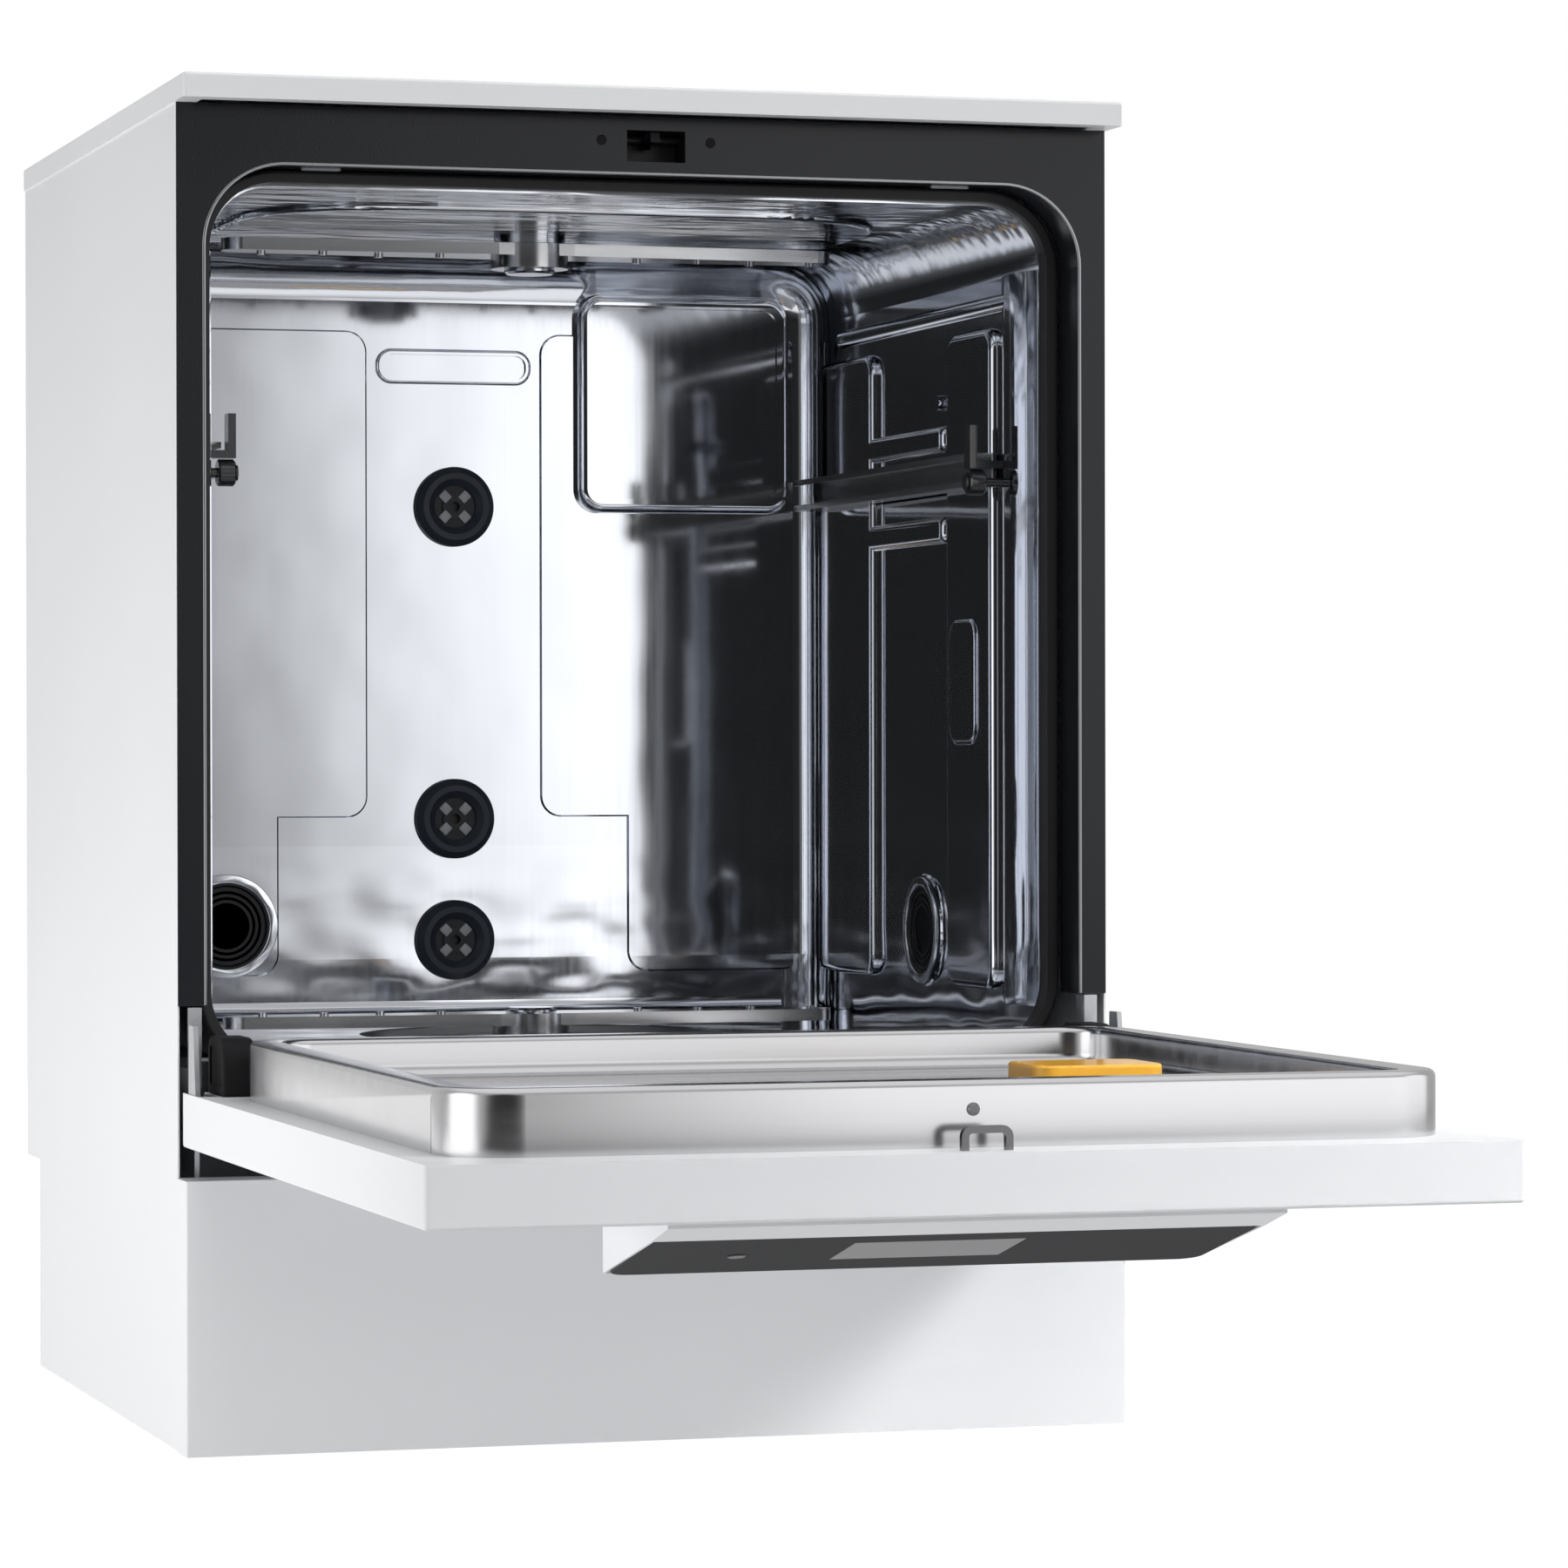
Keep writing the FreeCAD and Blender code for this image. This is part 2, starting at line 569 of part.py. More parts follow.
def sketch_of(body, role, points):
    """Closed outline through points given by pairs of formulas."""
    plane = next(item for item in body.Origin.OriginFeatures if item.Role == role)
    sketch = body.newObject("Sketcher::SketchObject", body.Name + "_outline")
    sketch.AttachmentSupport = (plane, [""])
    sketch.MapMode = "FlatFace"
    count = len(points)
    angles = [2 * math.pi * i / count for i in range(count)]
    corners = [Vector(20 + 10 * math.cos(a), 20 + 10 * math.sin(a), 0) for a in angles]
    for i in range(count):
        sketch.addGeometry(Part.LineSegment(corners[i], corners[(i + 1) % count]))
    for i in range(count):
        sketch.addConstraint(Sketcher.Constraint("Coincident", i, 2, (i + 1) % count, 1))
    for i, point in enumerate(points):
        for kind, text, start in zip(("DistanceX", "DistanceY"), point, (corners[i].x, corners[i].y)):
            index = sketch.addConstraint(Sketcher.Constraint(kind, -1, 1, i, 1, start))
            label = f"{kind}_{i}"
            sketch.renameConstraint(index, label)
            sketch.setExpression(f"Constraints.{label}", formula(text))
    return sketch


def plate(name, turn, at, points, depth, corner=None, wanted=None):
    """Outline padded along its normal; wanted picks upright edges to round."""
    body = doc.addObject("PartDesign::Body", name)
    sketch = sketch_of(body, "XY_Plane", points)
    pad = body.newObject("PartDesign::Pad", name + "_pad")
    pad.Profile = sketch
    bind(pad, Length=depth)
    body.Tip = pad
    if corner:
        soften(body, "Fillet", corner, lambda edge: upright(edge) and wanted(edge.Vertexes[0].Point))
    place(body, at, turn)
    return body


def turned(name, at, turn, points):
    """Profile of radius and height pairs turned about the local Z axis."""
    body = doc.addObject("PartDesign::Body", name)
    sketch = sketch_of(body, "XZ_Plane", points)
    spin = body.newObject("PartDesign::Revolution", name + "_spin")
    spin.Profile = sketch
    axis = next(item for item in body.Origin.OriginFeatures if item.Role == "Z_Axis")
    spin.ReferenceAxis = (axis, [""])
    spin.Angle = 360
    body.Tip = spin
    place(body, at, turn)
    return body


def arch(name, half, top, foot, radius, back, depth, rim=None):
    """Front-view block between plus and minus half, reaching forward from back."""
    size = (f"2 * {half}", f"{top} - ({foot})")
    return rounded(name, FACING, (f"-{half}", back, foot), size, radius, depth, rim)


def both(half):
    return (f"-({half})", half)


def make_base():
    rear = f"({STEP} - skin_thick)"
    front = f"({PLINTH} + skin_thick)"
    pan = slab("base_pan", both(INNER), (front, rear), ("base_level", "base_level + base_wall"))
    well = slab("base_well", both(f"{INNER} - base_sheet"), (f"{front} + base_sheet", f"{rear} - base_sheet"),
                (BASE_TOP, "base_level + base_wall + 1"))
    pieces = [cut("base_tray", pan, well)]
    front_post = f"({TUB} + post_front - post_width)"
    rear_post = f"({TUB_BACK} - post_rear - post_width)"
    for side, span in (("left", "-post_face"), ("right", "post_face - post_thick")):
        for end, start in (("front", front_post), ("rear", rear_post)):
            pieces.append(slab(f"post_{side}_{end}", (span, f"{span} + post_thick"),
                               (start, f"{start} + post_width"), (BASE_TOP, TUB_LOW)))
        low = "-post_face" if side == "left" else "post_face - shelf_width"
        pieces.append(slab(f"shelf_{side}", (low, f"{low} + shelf_width"),
                           (front_post, f"{rear_post} + post_width"), (f"{TUB_LOW} - post_thick", TUB_LOW)))
    holes = []
    for name, x, y in foot_places():
        pieces.append(rod(f"boss_{name}", (x, y, BASE_TOP), FLAT, "foot_boss", "boss_height"))
        holes.append(rod(f"bore_{name}", (x, y, "base_level - 1"), FLAT, "foot_rod + slide_fit",
                         "base_sheet + boss_height + 2"))
    node("base_frame", cut("base_frame_solid", join("base_joined", *pieces), *holes))


def foot_places():
    front = f"{FRONT} + foot_front"
    rear = f"{STEP} - foot_rear"
    return (("front_left", "-foot_across", front), ("front_right", "foot_across", front),
            ("rear_left", "-foot_across", rear), ("rear_right", "foot_across", rear))


def make_feet():
    profile = [("0", "0"), ("foot_radius", "0"), ("foot_radius", "foot_pad / 2"),
               ("foot_radius - foot_pad / 2", "foot_pad"), ("foot_nut", "foot_pad"),
               ("foot_nut", "base_level"), ("foot_rod", "base_level"),
               ("foot_rod", f"{BASE_TOP} + boss_height - foot_rod"),
               ("0", f"{BASE_TOP} + boss_height - foot_rod")]
    for name, x, y in foot_places():
        node(f"foot_{name}", turned(f"foot_{name}_turned", (x, y, "0"), FLAT, profile))


def make_panels():
    skin = (f"-{HALF}", f"-{INNER}")
    sheet_part = slab("side_sheet", skin, (FRAME_BACK, BACK), ("floor_gap", LID))
    fold = (f"-{INNER}", f"-{INNER} + fold_width")
    top = slab("side_top_fold", fold, (f"{FRAME_BACK} + 2 * fold_width", BACK), (f"{LID} - skin_thick", LID))
    rear = slab("side_rear_fold", fold, (f"{BACK} - skin_thick", BACK), ("step_height", LID))
    step = slab("side_step", (f"-{HALF} - 1", f"-{INNER} + fold_width + 1"), (STEP, f"{BACK} + 1"),
                ("0", "step_height"))
    left = node("side_panel_left", cut("side_left", join("side_folded", sheet_part, top, rear), step))
    node("side_panel_right", mirror("side_right", left))

    inside = f"({BACK} - skin_thick)"
    upper = slab("rear_upper", both(INNER), (f"{inside} - skin_thick", inside),
                 ("step_height", f"{LID} - skin_thick"))
    shelf = slab("rear_shelf", both(INNER), (f"{STEP} - skin_thick", inside),
                 ("step_height", "step_height + skin_thick"))
    lower = slab("rear_lower", both(INNER), (f"{STEP} - skin_thick", STEP),
                 ("floor_gap", "step_height + skin_thick"))
    holes = [rod(f"rear_hole_{i}", (x, f"{STEP} - 2 * skin_thick", "inlet_level"), AWAY, radius,
                 "4 * skin_thick")
             for i, (x, radius) in enumerate(rear_ports())]
    node("rear_panel", cut("rear_holed", join("rear_bent", upper, shelf, lower), *holes))

    cap = rounded("top_cap", FLAT, ("-cab_width / 2", FRONT, LID), ("cab_width", "cab_depth"),
                  "top_corner", "top_thick", "top_edge")
    hollow = slab("top_hollow", both("cab_width / 2 - top_skin"),
                  (f"{FRONT} + top_skin", f"{BACK} - top_skin"),
                  (f"{LID} + top_skin", "cab_height - top_skin"))
    mouth = slab("top_mouth", both("cab_width / 2 - top_return"),
                 (f"{FRONT} + top_return", f"{BACK} - top_return"), (f"{LID} - 1", f"{LID} + 2 * top_skin"))
    node("worktop", cut("top_folded", cap, hollow, mouth))

    block = rounded("plinth_block", FLAT, ("-cab_width / 2", PLINTH, "floor_gap"),
                    ("cab_width", f"{FRAME} - {PLINTH}"), "plinth_corner", f"{PLINTH_TOP} - floor_gap")
    inside = slab("plinth_inside", both("cab_width / 2 - skin_thick"),
                  (f"{PLINTH} + skin_thick", f"{FRAME} + 1"),
                  ("0", f"{PLINTH_TOP} - skin_thick"))
    node("plinth", cut("plinth_folded", block, inside))


def rear_ports():
    """Places and radii of the holes in the recessed rear sheet."""
    return (("-inlet_across", "inlet_neck + seat_gap"),
            ("-inlet_across + inlet_pitch", "inlet_neck + seat_gap"),
            ("gland_across", "gland_thread + seat_gap"))


def make_front_frame():
    face = slab("frame_face", both(HALF), (FRAME, FRAME_BACK), ("frame_foot", LID))
    foot = "(frame_foot - 3 * frame_radius)"
    wall = arch("frame_wall", f"({OPEN_HALF} + frame_skin)", f"{OPEN_TOP} + frame_skin", foot,
                "frame_radius + frame_skin", SEAL, "recess_depth")
    below = slab("frame_below", both("cab_width"), (f"{FRAME} - 1", f"{SEAL} + 1"),
                 (f"{foot} - 10", "frame_foot"))
    fold = slab("frame_fold", both(f"{INNER} - fold_width"), (FRAME_BACK, f"{FRAME_BACK} + 1.5 * fold_width"),
                (f"{LID} - frame_skin", LID))
    opening = arch("frame_opening", OPEN_HALF, OPEN_TOP, f"({foot} - 5)", "frame_radius", f"{SEAL} + 1",
                   "recess_depth + 2")
    slot = slab("frame_slot", ("lock_across - lock_width / 2", "lock_across + lock_width / 2"),
                (f"{FRAME} - 1", f"{FRAME_BACK} + 1"),
                ("lock_level - lock_height / 2", "lock_level + lock_height / 2"))
    node("front_frame", cut("frame_cut", join("frame_joined", face, wall, fold), below, opening, slot))

    outer = arch("gasket_outer", f"({OPEN_HALF} - seat_gap)", f"{OPEN_TOP} - seat_gap", SEAL_LOW,
                 "frame_radius - seat_gap", TUB, "gasket_thick", "gasket_edge")
    inner = arch("gasket_inner", f"({WALL} + gasket_lip)", "tub_top + gasket_lip", f"({TUB_LOW})",
                 "tub_corner + gasket_lip", f"{TUB} + 1", "gasket_thick + 2")
    node("door_gasket", cut("gasket_ring", outer, inner))


def pressed(name, turn, at, size, radius="press_corner", rise="press_rise"):
    """Field pressed forward out of a tub sheet, with sloped edges."""
    return rounded(name, turn, at, size, radius, rise, "press_slope", "Chamfer")


def tub_shell(name, extra, back, depth, foot):
    return arch(name, f"({WALL} + {extra})", f"tub_top + {extra}", foot, f"tub_corner + {extra}", back, depth)


def make_tub():
    foot = "(tub_floor - 3 * tub_corner)"
    outer = tub_shell("wrap_outer", "tub_sheet", TUB_BACK, "tub_depth", foot)
    inner = tub_shell("wrap_inner", "0 * tub_sheet", f"{TUB_BACK} + 1", "tub_depth + 2", f"({foot} - 5)")
    below = slab("wrap_below", both("cab_width"), (f"{TUB} - 1", f"{TUB_BACK} + 1"),
                 (f"{foot} - 10", TUB_LOW))
    flange = arch("wrap_flange", f"({OPEN_HALF} - seat_gap)", f"{OPEN_TOP} - seat_gap", SEAL_LOW,
                  "frame_radius - seat_gap", f"{TUB} + tub_sheet", "tub_sheet")
    mouth = tub_shell("wrap_mouth", "0 * tub_sheet", f"{TUB} + 2 * tub_sheet", "3 * tub_sheet", TUB_LOW)
    fields = [cut("wrap_shell", outer, inner, below), cut("wrap_ring", flange, mouth)]
    for side, x in (("left", f"-{WALL}"), ("right", WALL)):
        height = ("side_foot", "side_top")
        fields.append(side_field(f"front_field_{side}", side, x, ("side_front", "side_front + side_strip"),
                                 height))
        fields.append(side_field(f"rear_field_{side}", side, x, ("side_rear", f"{TUB_BACK} - side_margin"),
                                 height))
        fields.append(side_field(f"ledge_{side}", side, x, ("ledge_front", "ledge_front + ledge_length"),
                                 ("ledge_level", "ledge_level + ledge_height"), "ledge_height / 2 - 0.2"))
        fields.append(side_field(f"pad_{side}", side, x, ("pad_front", "pad_front + pad_length"),
                                 ("pad_foot", "pad_foot + pad_height"), "press_corner",
                                 "side_rise + press_rise"))
        for tab in ("tab_low", "tab_high"):
            fields.append(side_field(f"{tab}_{side}", side, x, ("tab_front", "tab_front + tab_length"),
                                     (f"tub_floor + {tab}", f"tub_floor + {tab} + tab_height"),
                                     "tab_height / 3"))
        fields.append(rod(f"stud_{side}", (x, f"{TUB} + stud_gap", "tub_top - stud_head"),
                          TO_LEFT if side == "right" else TO_RIGHT, "stud_radius", "stud_rise"))
    ceiling_back = f"({TUB_BACK} - ceiling_end)"
    fields.append(rounded("ceiling_field", DOWN, ("-ceiling_half", ceiling_back, "tub_top"),
                          ("2 * ceiling_half", "tub_depth - ceiling_gap - ceiling_end"), "ceiling_corner",
                          "ceiling_rise", "ceiling_edge"))
    hollow = rounded("ceiling_hollow", DOWN,
                     ("-ceiling_half + ceiling_rise", f"{ceiling_back} - ceiling_rise",
                      "tub_top + 2 * tub_sheet"),
                     ("2 * (ceiling_half - ceiling_rise)",
                      "tub_depth - ceiling_gap - ceiling_end - 2 * ceiling_rise"),
                     "ceiling_corner - ceiling_rise", "ceiling_rise + tub_sheet")
    feed_hole = rod("wrap_feed", ("0", "arm_place", "tub_top - 2 * ceiling_rise"), FLAT,
                    "post_shaft + seat_gap",
                    "4 * ceiling_rise")
    seat = "(vent_radius + vent_rise)"
    fields.append(pressed("vent_seat", TO_LEFT, (WALL, f"vent_place - {seat}", f"vent_level - {seat}"),
                          (f"2 * {seat}", f"2 * {seat}"), f"{seat} - 0.2"))
    hole = rod("wrap_vent", (f"{WALL} - 5 * press_rise", "vent_place", "vent_level"), TO_RIGHT, "vent_hole",
               "10 * press_rise")
    node("chamber_wrap", cut("wrap_pressed", join("wrap_fields", *fields), hole, hollow, feed_hole))

    back_sheet = tub_shell("back_outer", "tub_sheet", f"{TUB_BACK} + tub_sheet", "tub_sheet", foot)
    back_below = slab("back_below", both("cab_width"), (f"{TUB_BACK} - 1", f"{TUB_BACK} + tub_sheet + 1"),
                      (f"{foot} - 5", TUB_LOW))
    pieces = [cut("back_sheet", back_sheet, back_below)]
    edge = f"({WALL} - press_margin)"
    for side, low, low_narrow in (("left", f"-{edge}", f"-{edge}"),
                                  ("right", "field_gap / 2", "field_narrow / 2")):
        pieces.append(pressed(f"rear_field_{side}", FACING, (low, TUB_BACK, "field_step"),
                              (f"{edge} - field_gap / 2", "field_top - field_step")))
        pieces.append(pressed(f"rear_foot_{side}", FACING, (low_narrow, TUB_BACK, "field_foot"),
                              (f"{edge} - field_narrow / 2", "field_step - field_foot + 3 * press_corner")))
    rim = rounded("slot_rim_block", FACING, ("-slot_width / 2", TUB_BACK, "slot_level - slot_height / 2"),
                  ("slot_width", "slot_height"), "slot_height / 2 - 1", "slot_rise", "slot_edge")
    rim_hole = rounded("slot_hole", FACING,
                       ("-slot_width / 2 + slot_rim", TUB_BACK, "slot_level - slot_height / 2 + slot_rim"),
                       ("slot_width - 2 * slot_rim", "slot_height - 2 * slot_rim"),
                       "slot_height / 2 - slot_rim - 1",
                       "2 * slot_rise")
    pieces.append(cut("slot_ring", rim, rim_hole))
    pieces.append(rounded("bulge", FACING, ("bulge_left", TUB_BACK, "bulge_foot"),
                          ("bulge_width", "bulge_height"),
                          "bulge_corner", "bulge_rise", "bulge_edge"))
    dish = rounded("bulge_face", FACING, ("bulge_left + bulge_rim", f"{TUB_BACK} - bulge_rise + bulge_dish",
                                          "bulge_foot + bulge_rim"),
                   ("bulge_width - 2 * bulge_rim", "bulge_height - 2 * bulge_rim"),
                   "bulge_corner - bulge_edge",
                   "2 * bulge_dish")
    hollow = rounded("bulge_hollow", FACING, ("bulge_left + 2 * tub_sheet", f"{TUB_BACK} + 2 * tub_sheet",
                                              "bulge_foot + 2 * tub_sheet"),
                     ("bulge_width - 4 * tub_sheet", "bulge_height - 4 * tub_sheet"),
                     "bulge_corner - 2 * tub_sheet",
                     "bulge_rise - bulge_dish")
    holes = [rod(f"dock_hole_{i}", ("0", f"{TUB_BACK} + 2 * tub_sheet", level), FACING,
                 "dock_neck + seat_gap",
                 "4 * tub_sheet") for i, level in enumerate(("dock_upper", "dock_middle", "dock_lower"))]
    holes.append(rod("back_vent", ("-vent_across", f"{TUB_BACK} + 2 * tub_sheet", "vent_level"), FACING,
                     "vent_hole",
                     "4 * tub_sheet + 2 * press_rise"))
    node("chamber_back", cut("back_pressed", join("back_fields", *pieces), dish, hollow, *holes))

    floor = slab("floor_sheet", both(WALL), (f"{TUB} + tub_sheet", TUB_BACK), (TUB_LOW, "tub_floor"))
    mouth = rod("floor_mouth", ("0", "sump_place", f"{TUB_LOW} - 1"), FLAT, "sump_radius", "tub_sheet + 2")
    node("chamber_floor", cut("floor_cut", floor, mouth))


def side_field(name, side, wall, along, height, radius="press_corner", swell="side_rise"):
    """Soft-edged field pressed out of a side wall between two depths and two heights."""
    length = f"({along[1]}) - ({along[0]})"
    rise = f"({height[1]}) - ({height[0]})"
    if side == "right":
        at = (wall, along[0], height[0])
        return rounded(name, TO_LEFT, at, (rise, length), radius, swell, "side_edge")
    at = (wall, along[0], height[1])
    return rounded(name, TO_RIGHT, at, (rise, length), radius, swell, "side_edge")


def make_sump():
    bottom = "-sump_depth"
    profile = [("sump_radius + sump_lip", "0"), ("sump_radius + sump_lip", "-sump_wall"),
               ("sump_radius + sump_wall", "-sump_wall"), ("sump_radius + sump_wall", "-sump_depth / 2"),
               ("sump_radius / 2", bottom), ("0", bottom), ("0", f"{bottom} + sump_wall"),
               ("sump_radius / 2 - sump_wall / 2", f"{bottom} + sump_wall"),
               ("sump_radius - sump_wall", "-sump_depth / 2 + sump_wall"),
               ("sump_radius - sump_wall", "-sump_ledge"), ("sump_radius", "-sump_ledge"),
               ("sump_radius", "0")]
    node("sump", turned("sump_turned", ("0", "sump_place", TUB_LOW), FLAT, profile))

    level = f"({TUB_LOW} - sump_ledge)"
    disc = rod("plate_disc", ("0", "sump_place", level), FLAT, "sump_radius - seat_gap", "plate_thick")
    well = rod("plate_well", ("0", "filter_place", f"{level} - 1"), FLAT,
               "filter_radius - filter_grip / 3 + seat_gap",
               "plate_thick + 2")
    node("flat_filter", cut("plate_cut", disc, well))

    cup = "filter_radius - filter_grip / 3"
    top = "plate_thick"
    profile = [("0", "-filter_depth"), (cup, "-filter_depth"), (cup, top), ("filter_radius", top),
               ("filter_radius", f"{top} + 2 * plate_thick"), ("filter_grip", f"{top} + 2 * plate_thick"),
               ("filter_grip * 0.7", f"{top} + filter_grip"), ("0", f"{top} + filter_grip")]
    node("fine_filter", turned("fine_filter_turned", ("0", "filter_place", level), FLAT, profile))

    ring = doc.addObject("Part::Torus", "heater_loop")
    bind(ring, Radius1="heater_ring", Radius2="heater_tube")
    place(ring, ("0", "sump_place", f"{level} - heater_drop"))
    reach = "sump_radius - sump_wall - heater_ring - 0.05"
    legs = [rod(f"heater_leg_{side}", (x, f"sump_place + {y}", f"{level} - heater_drop"), turn,
                "heater_tube * 0.8", reach)
            for side, x, y, turn in (("left", "-heater_ring", "0", TO_LEFT),
                                     ("right", "heater_ring", "0", TO_RIGHT),
                                     ("rear", "0", "heater_ring", AWAY))]
    node("heating_element", join("heater_joined", ring, *legs))


def arm_outline(edge):
    return [("-arm_reach", f"-arm_tip + {edge}"), ("-arm_hub", f"-arm_root + {edge}"),
            ("arm_hub", f"-arm_root + {edge}"), ("arm_reach", f"-arm_tip + {edge}"),
            ("arm_reach", f"arm_tip - {edge}"), ("arm_hub", f"arm_root - {edge}"),
            ("-arm_hub", f"arm_root - {edge}"), ("-arm_reach", f"arm_tip - {edge}")]


def make_arm(name, hub_low, jets_up):
    """Hollow two-bladed spray arm whose hub starts at a height."""
    blade_low = f"({hub_low} + hub_height - arm_thick)"
    reach = sheet.cab_width / 2 - sheet.tub_side_gap - sheet.arm_gap
    blades = plate(f"{name}_blades", FLAT, ("0", "arm_place", blade_low), arm_outline("0 * arm_tip"),
                   "arm_thick",
                   "arm_tip - 1", lambda point: abs(abs(point.x) - reach) < 1e-6)
    hub = rod(f"{name}_hub", ("0", "arm_place", hub_low), FLAT, "arm_hub", "hub_height")
    jets = []
    start = f"{blade_low} + arm_thick / 2" if jets_up else f"{blade_low} - jet_rise"
    for i in range(4):
        for side in (-1, 1):
            x = f"{side} * arm_reach * {0.3 + 0.19 * i + (0.06 if side > 0 else 0):.2f}"
            y = f"arm_place + {side * (-1) ** i} * arm_tip / 3"
            jets.append(rod(f"{name}_jet_{i}_{side + 1}", (x, y, start), FLAT, "jet_radius",
                            "arm_thick / 2 + jet_rise"))
    inside = plate(f"{name}_inside", FLAT, ("0", "arm_place", f"{blade_low} + arm_wall"),
                   [(f"{x} * 0.94", y) for x, y in arm_outline("arm_wall")], "arm_thick - 2 * arm_wall")
    core = rod(f"{name}_core", ("0", "arm_place", hub_low), FLAT, "arm_hub - arm_wall", "hub_height")
    sleeve = rod(f"{name}_sleeve", ("0", "arm_place", hub_low), FLAT, "post_shaft + arm_wall", "hub_height")
    bore = rod(f"{name}_bore", ("0", "arm_place", f"{hub_low} - 1"), FLAT, "post_shaft + slide_fit",
               "hub_height + 2")
    hollow = cut(f"{name}_hollow", inside, core)
    shell = cut(f"{name}_shell", join(f"{name}_joined", blades, hub, *jets), hollow)
    node(name, cut(f"{name}_solid", join(f"{name}_sleeved", shell, sleeve), bore))


def make_arms():
    low = f"({TUB_LOW} - sump_ledge + plate_thick)"
    shoulder = f"({low} + post_rise)"
    hub = f"({shoulder} + hub_play)"
    top = f"({hub} + hub_height + hub_play)"
    profile = [("0", low), ("post_base", low), ("post_base", shoulder), ("post_shaft", shoulder),
               ("post_shaft", top), ("post_nut", top), ("post_nut", f"{top} + nut_height / 2"),
               ("post_nut - nut_height / 2", f"{top} + nut_height"), ("0", f"{top} + nut_height")]
    node("lower_arm_post", turned("lower_post_turned", ("0", "arm_place", "0"), FLAT, profile))
    make_arm("lower_spray_arm", hub, True)

    crown = "(feed_lift + feed_radius + arm_wall)"
    hang = "(post_drop + hub_height + 2 * hub_play)"
    profile = [("0", f"-{crown}"), ("post_shaft", f"-{crown}"), ("post_shaft", "ceiling_rise"),
               ("post_base", "ceiling_rise"), ("post_base", "post_drop"), ("post_shaft", "post_drop"),
               ("post_shaft", hang),
               ("post_nut", hang), ("post_nut", f"{hang} + nut_height / 2"),
               ("post_nut - nut_height / 2", f"{hang} + nut_height"), ("0", f"{hang} + nut_height")]
    post = turned("upper_post_turned", ("0", "arm_place", "tub_top"), DOWN, profile)
    level = "(tub_top + feed_lift)"
    behind = f"({TUB_BACK} + tub_sheet + duct_depth / 2)"
    across = rod("feed_across", ("0", "arm_place", level), AWAY, "feed_radius",
                 f"{behind} - arm_place + feed_radius + arm_wall")
    fall = rod("feed_fall", ("0", behind, level), DOWN, "feed_radius", f"{level} - {DUCT_TOP}")
    node("upper_arm_feed", join("upper_feed_joined", post, across, fall))
    make_arm("upper_spray_arm", "(tub_top - post_drop - hub_play - hub_height)", False)


def make_docks():
    collar = [("dock_bore", "-dock_tail"), ("dock_neck", "-dock_tail"), ("dock_neck", "0"),
              ("dock_radius", "0"),
              ("dock_radius", "dock_rise / 2"), ("dock_radius - dock_rise / 2", "dock_rise"),
              ("dock_neck", "dock_rise"), ("dock_mouth", "dock_lip + 2"), ("dock_mouth", "dock_lip"),
              ("dock_bore", "dock_lip")]
    valve = [("0", "dock_lip - valve_thick"), ("dock_bore - 2 * slide_fit", "dock_lip - valve_thick"),
             ("dock_bore - 2 * slide_fit", "dock_lip"), ("valve_boss", "dock_lip"),
             ("valve_boss", "dock_lip + 2"),
             ("valve_dimple", "dock_lip + 2"), ("valve_dimple", "0"), ("0", "0")]
    holes = []
    for name in ("upper", "middle", "lower"):
        at = ("0", TUB_BACK, f"dock_{name}")
        node(f"coupling_{name}", turned(f"coupling_{name}_turned", at, FACING, collar))
        node(f"valve_{name}", turned(f"valve_{name}_turned", at, FACING, valve))
        holes.append(rod(f"duct_hole_{name}",
                         ("0", f"{TUB_BACK} + tub_sheet + 2 * duct_wall", f"dock_{name}"), FACING,
                         "dock_neck + seat_gap", "3 * duct_wall"))
    near = f"({TUB_BACK} + tub_sheet)"
    block = slab("duct_block", both("duct_width / 2"), (near, f"{near} + duct_depth"),
                 ("duct_foot", DUCT_TOP))
    hollow = slab("duct_hollow", both("duct_width / 2 - duct_wall"),
                  (f"{near} + duct_wall", f"{near} + duct_depth - duct_wall"),
                  ("duct_foot + duct_wall", f"{DUCT_TOP} - duct_wall"))
    node("riser_manifold", cut("duct_cut", block, hollow, *holes))


def make_vents():
    profile = [("0", "-vent_rise"), ("vent_hole - seat_gap", "-vent_rise"),
               ("vent_hole - seat_gap", "press_rise"),
               ("vent_radius", "press_rise"), ("vent_radius", "press_rise + vent_rise / 2"),
               ("vent_radius - vent_rise / 2", "press_rise + vent_rise"),
               ("vent_hole - vent_rise / 2", "press_rise + vent_rise"),
               ("vent_hole - vent_rise", "press_rise"),
               ("0", "press_rise")]
    node("vent_back", turned("vent_back_turned", ("-vent_across", TUB_BACK, "vent_level"), FACING, profile))
    node("vent_side", turned("vent_side_turned", (WALL, "vent_place", "vent_level"), TO_LEFT, profile))


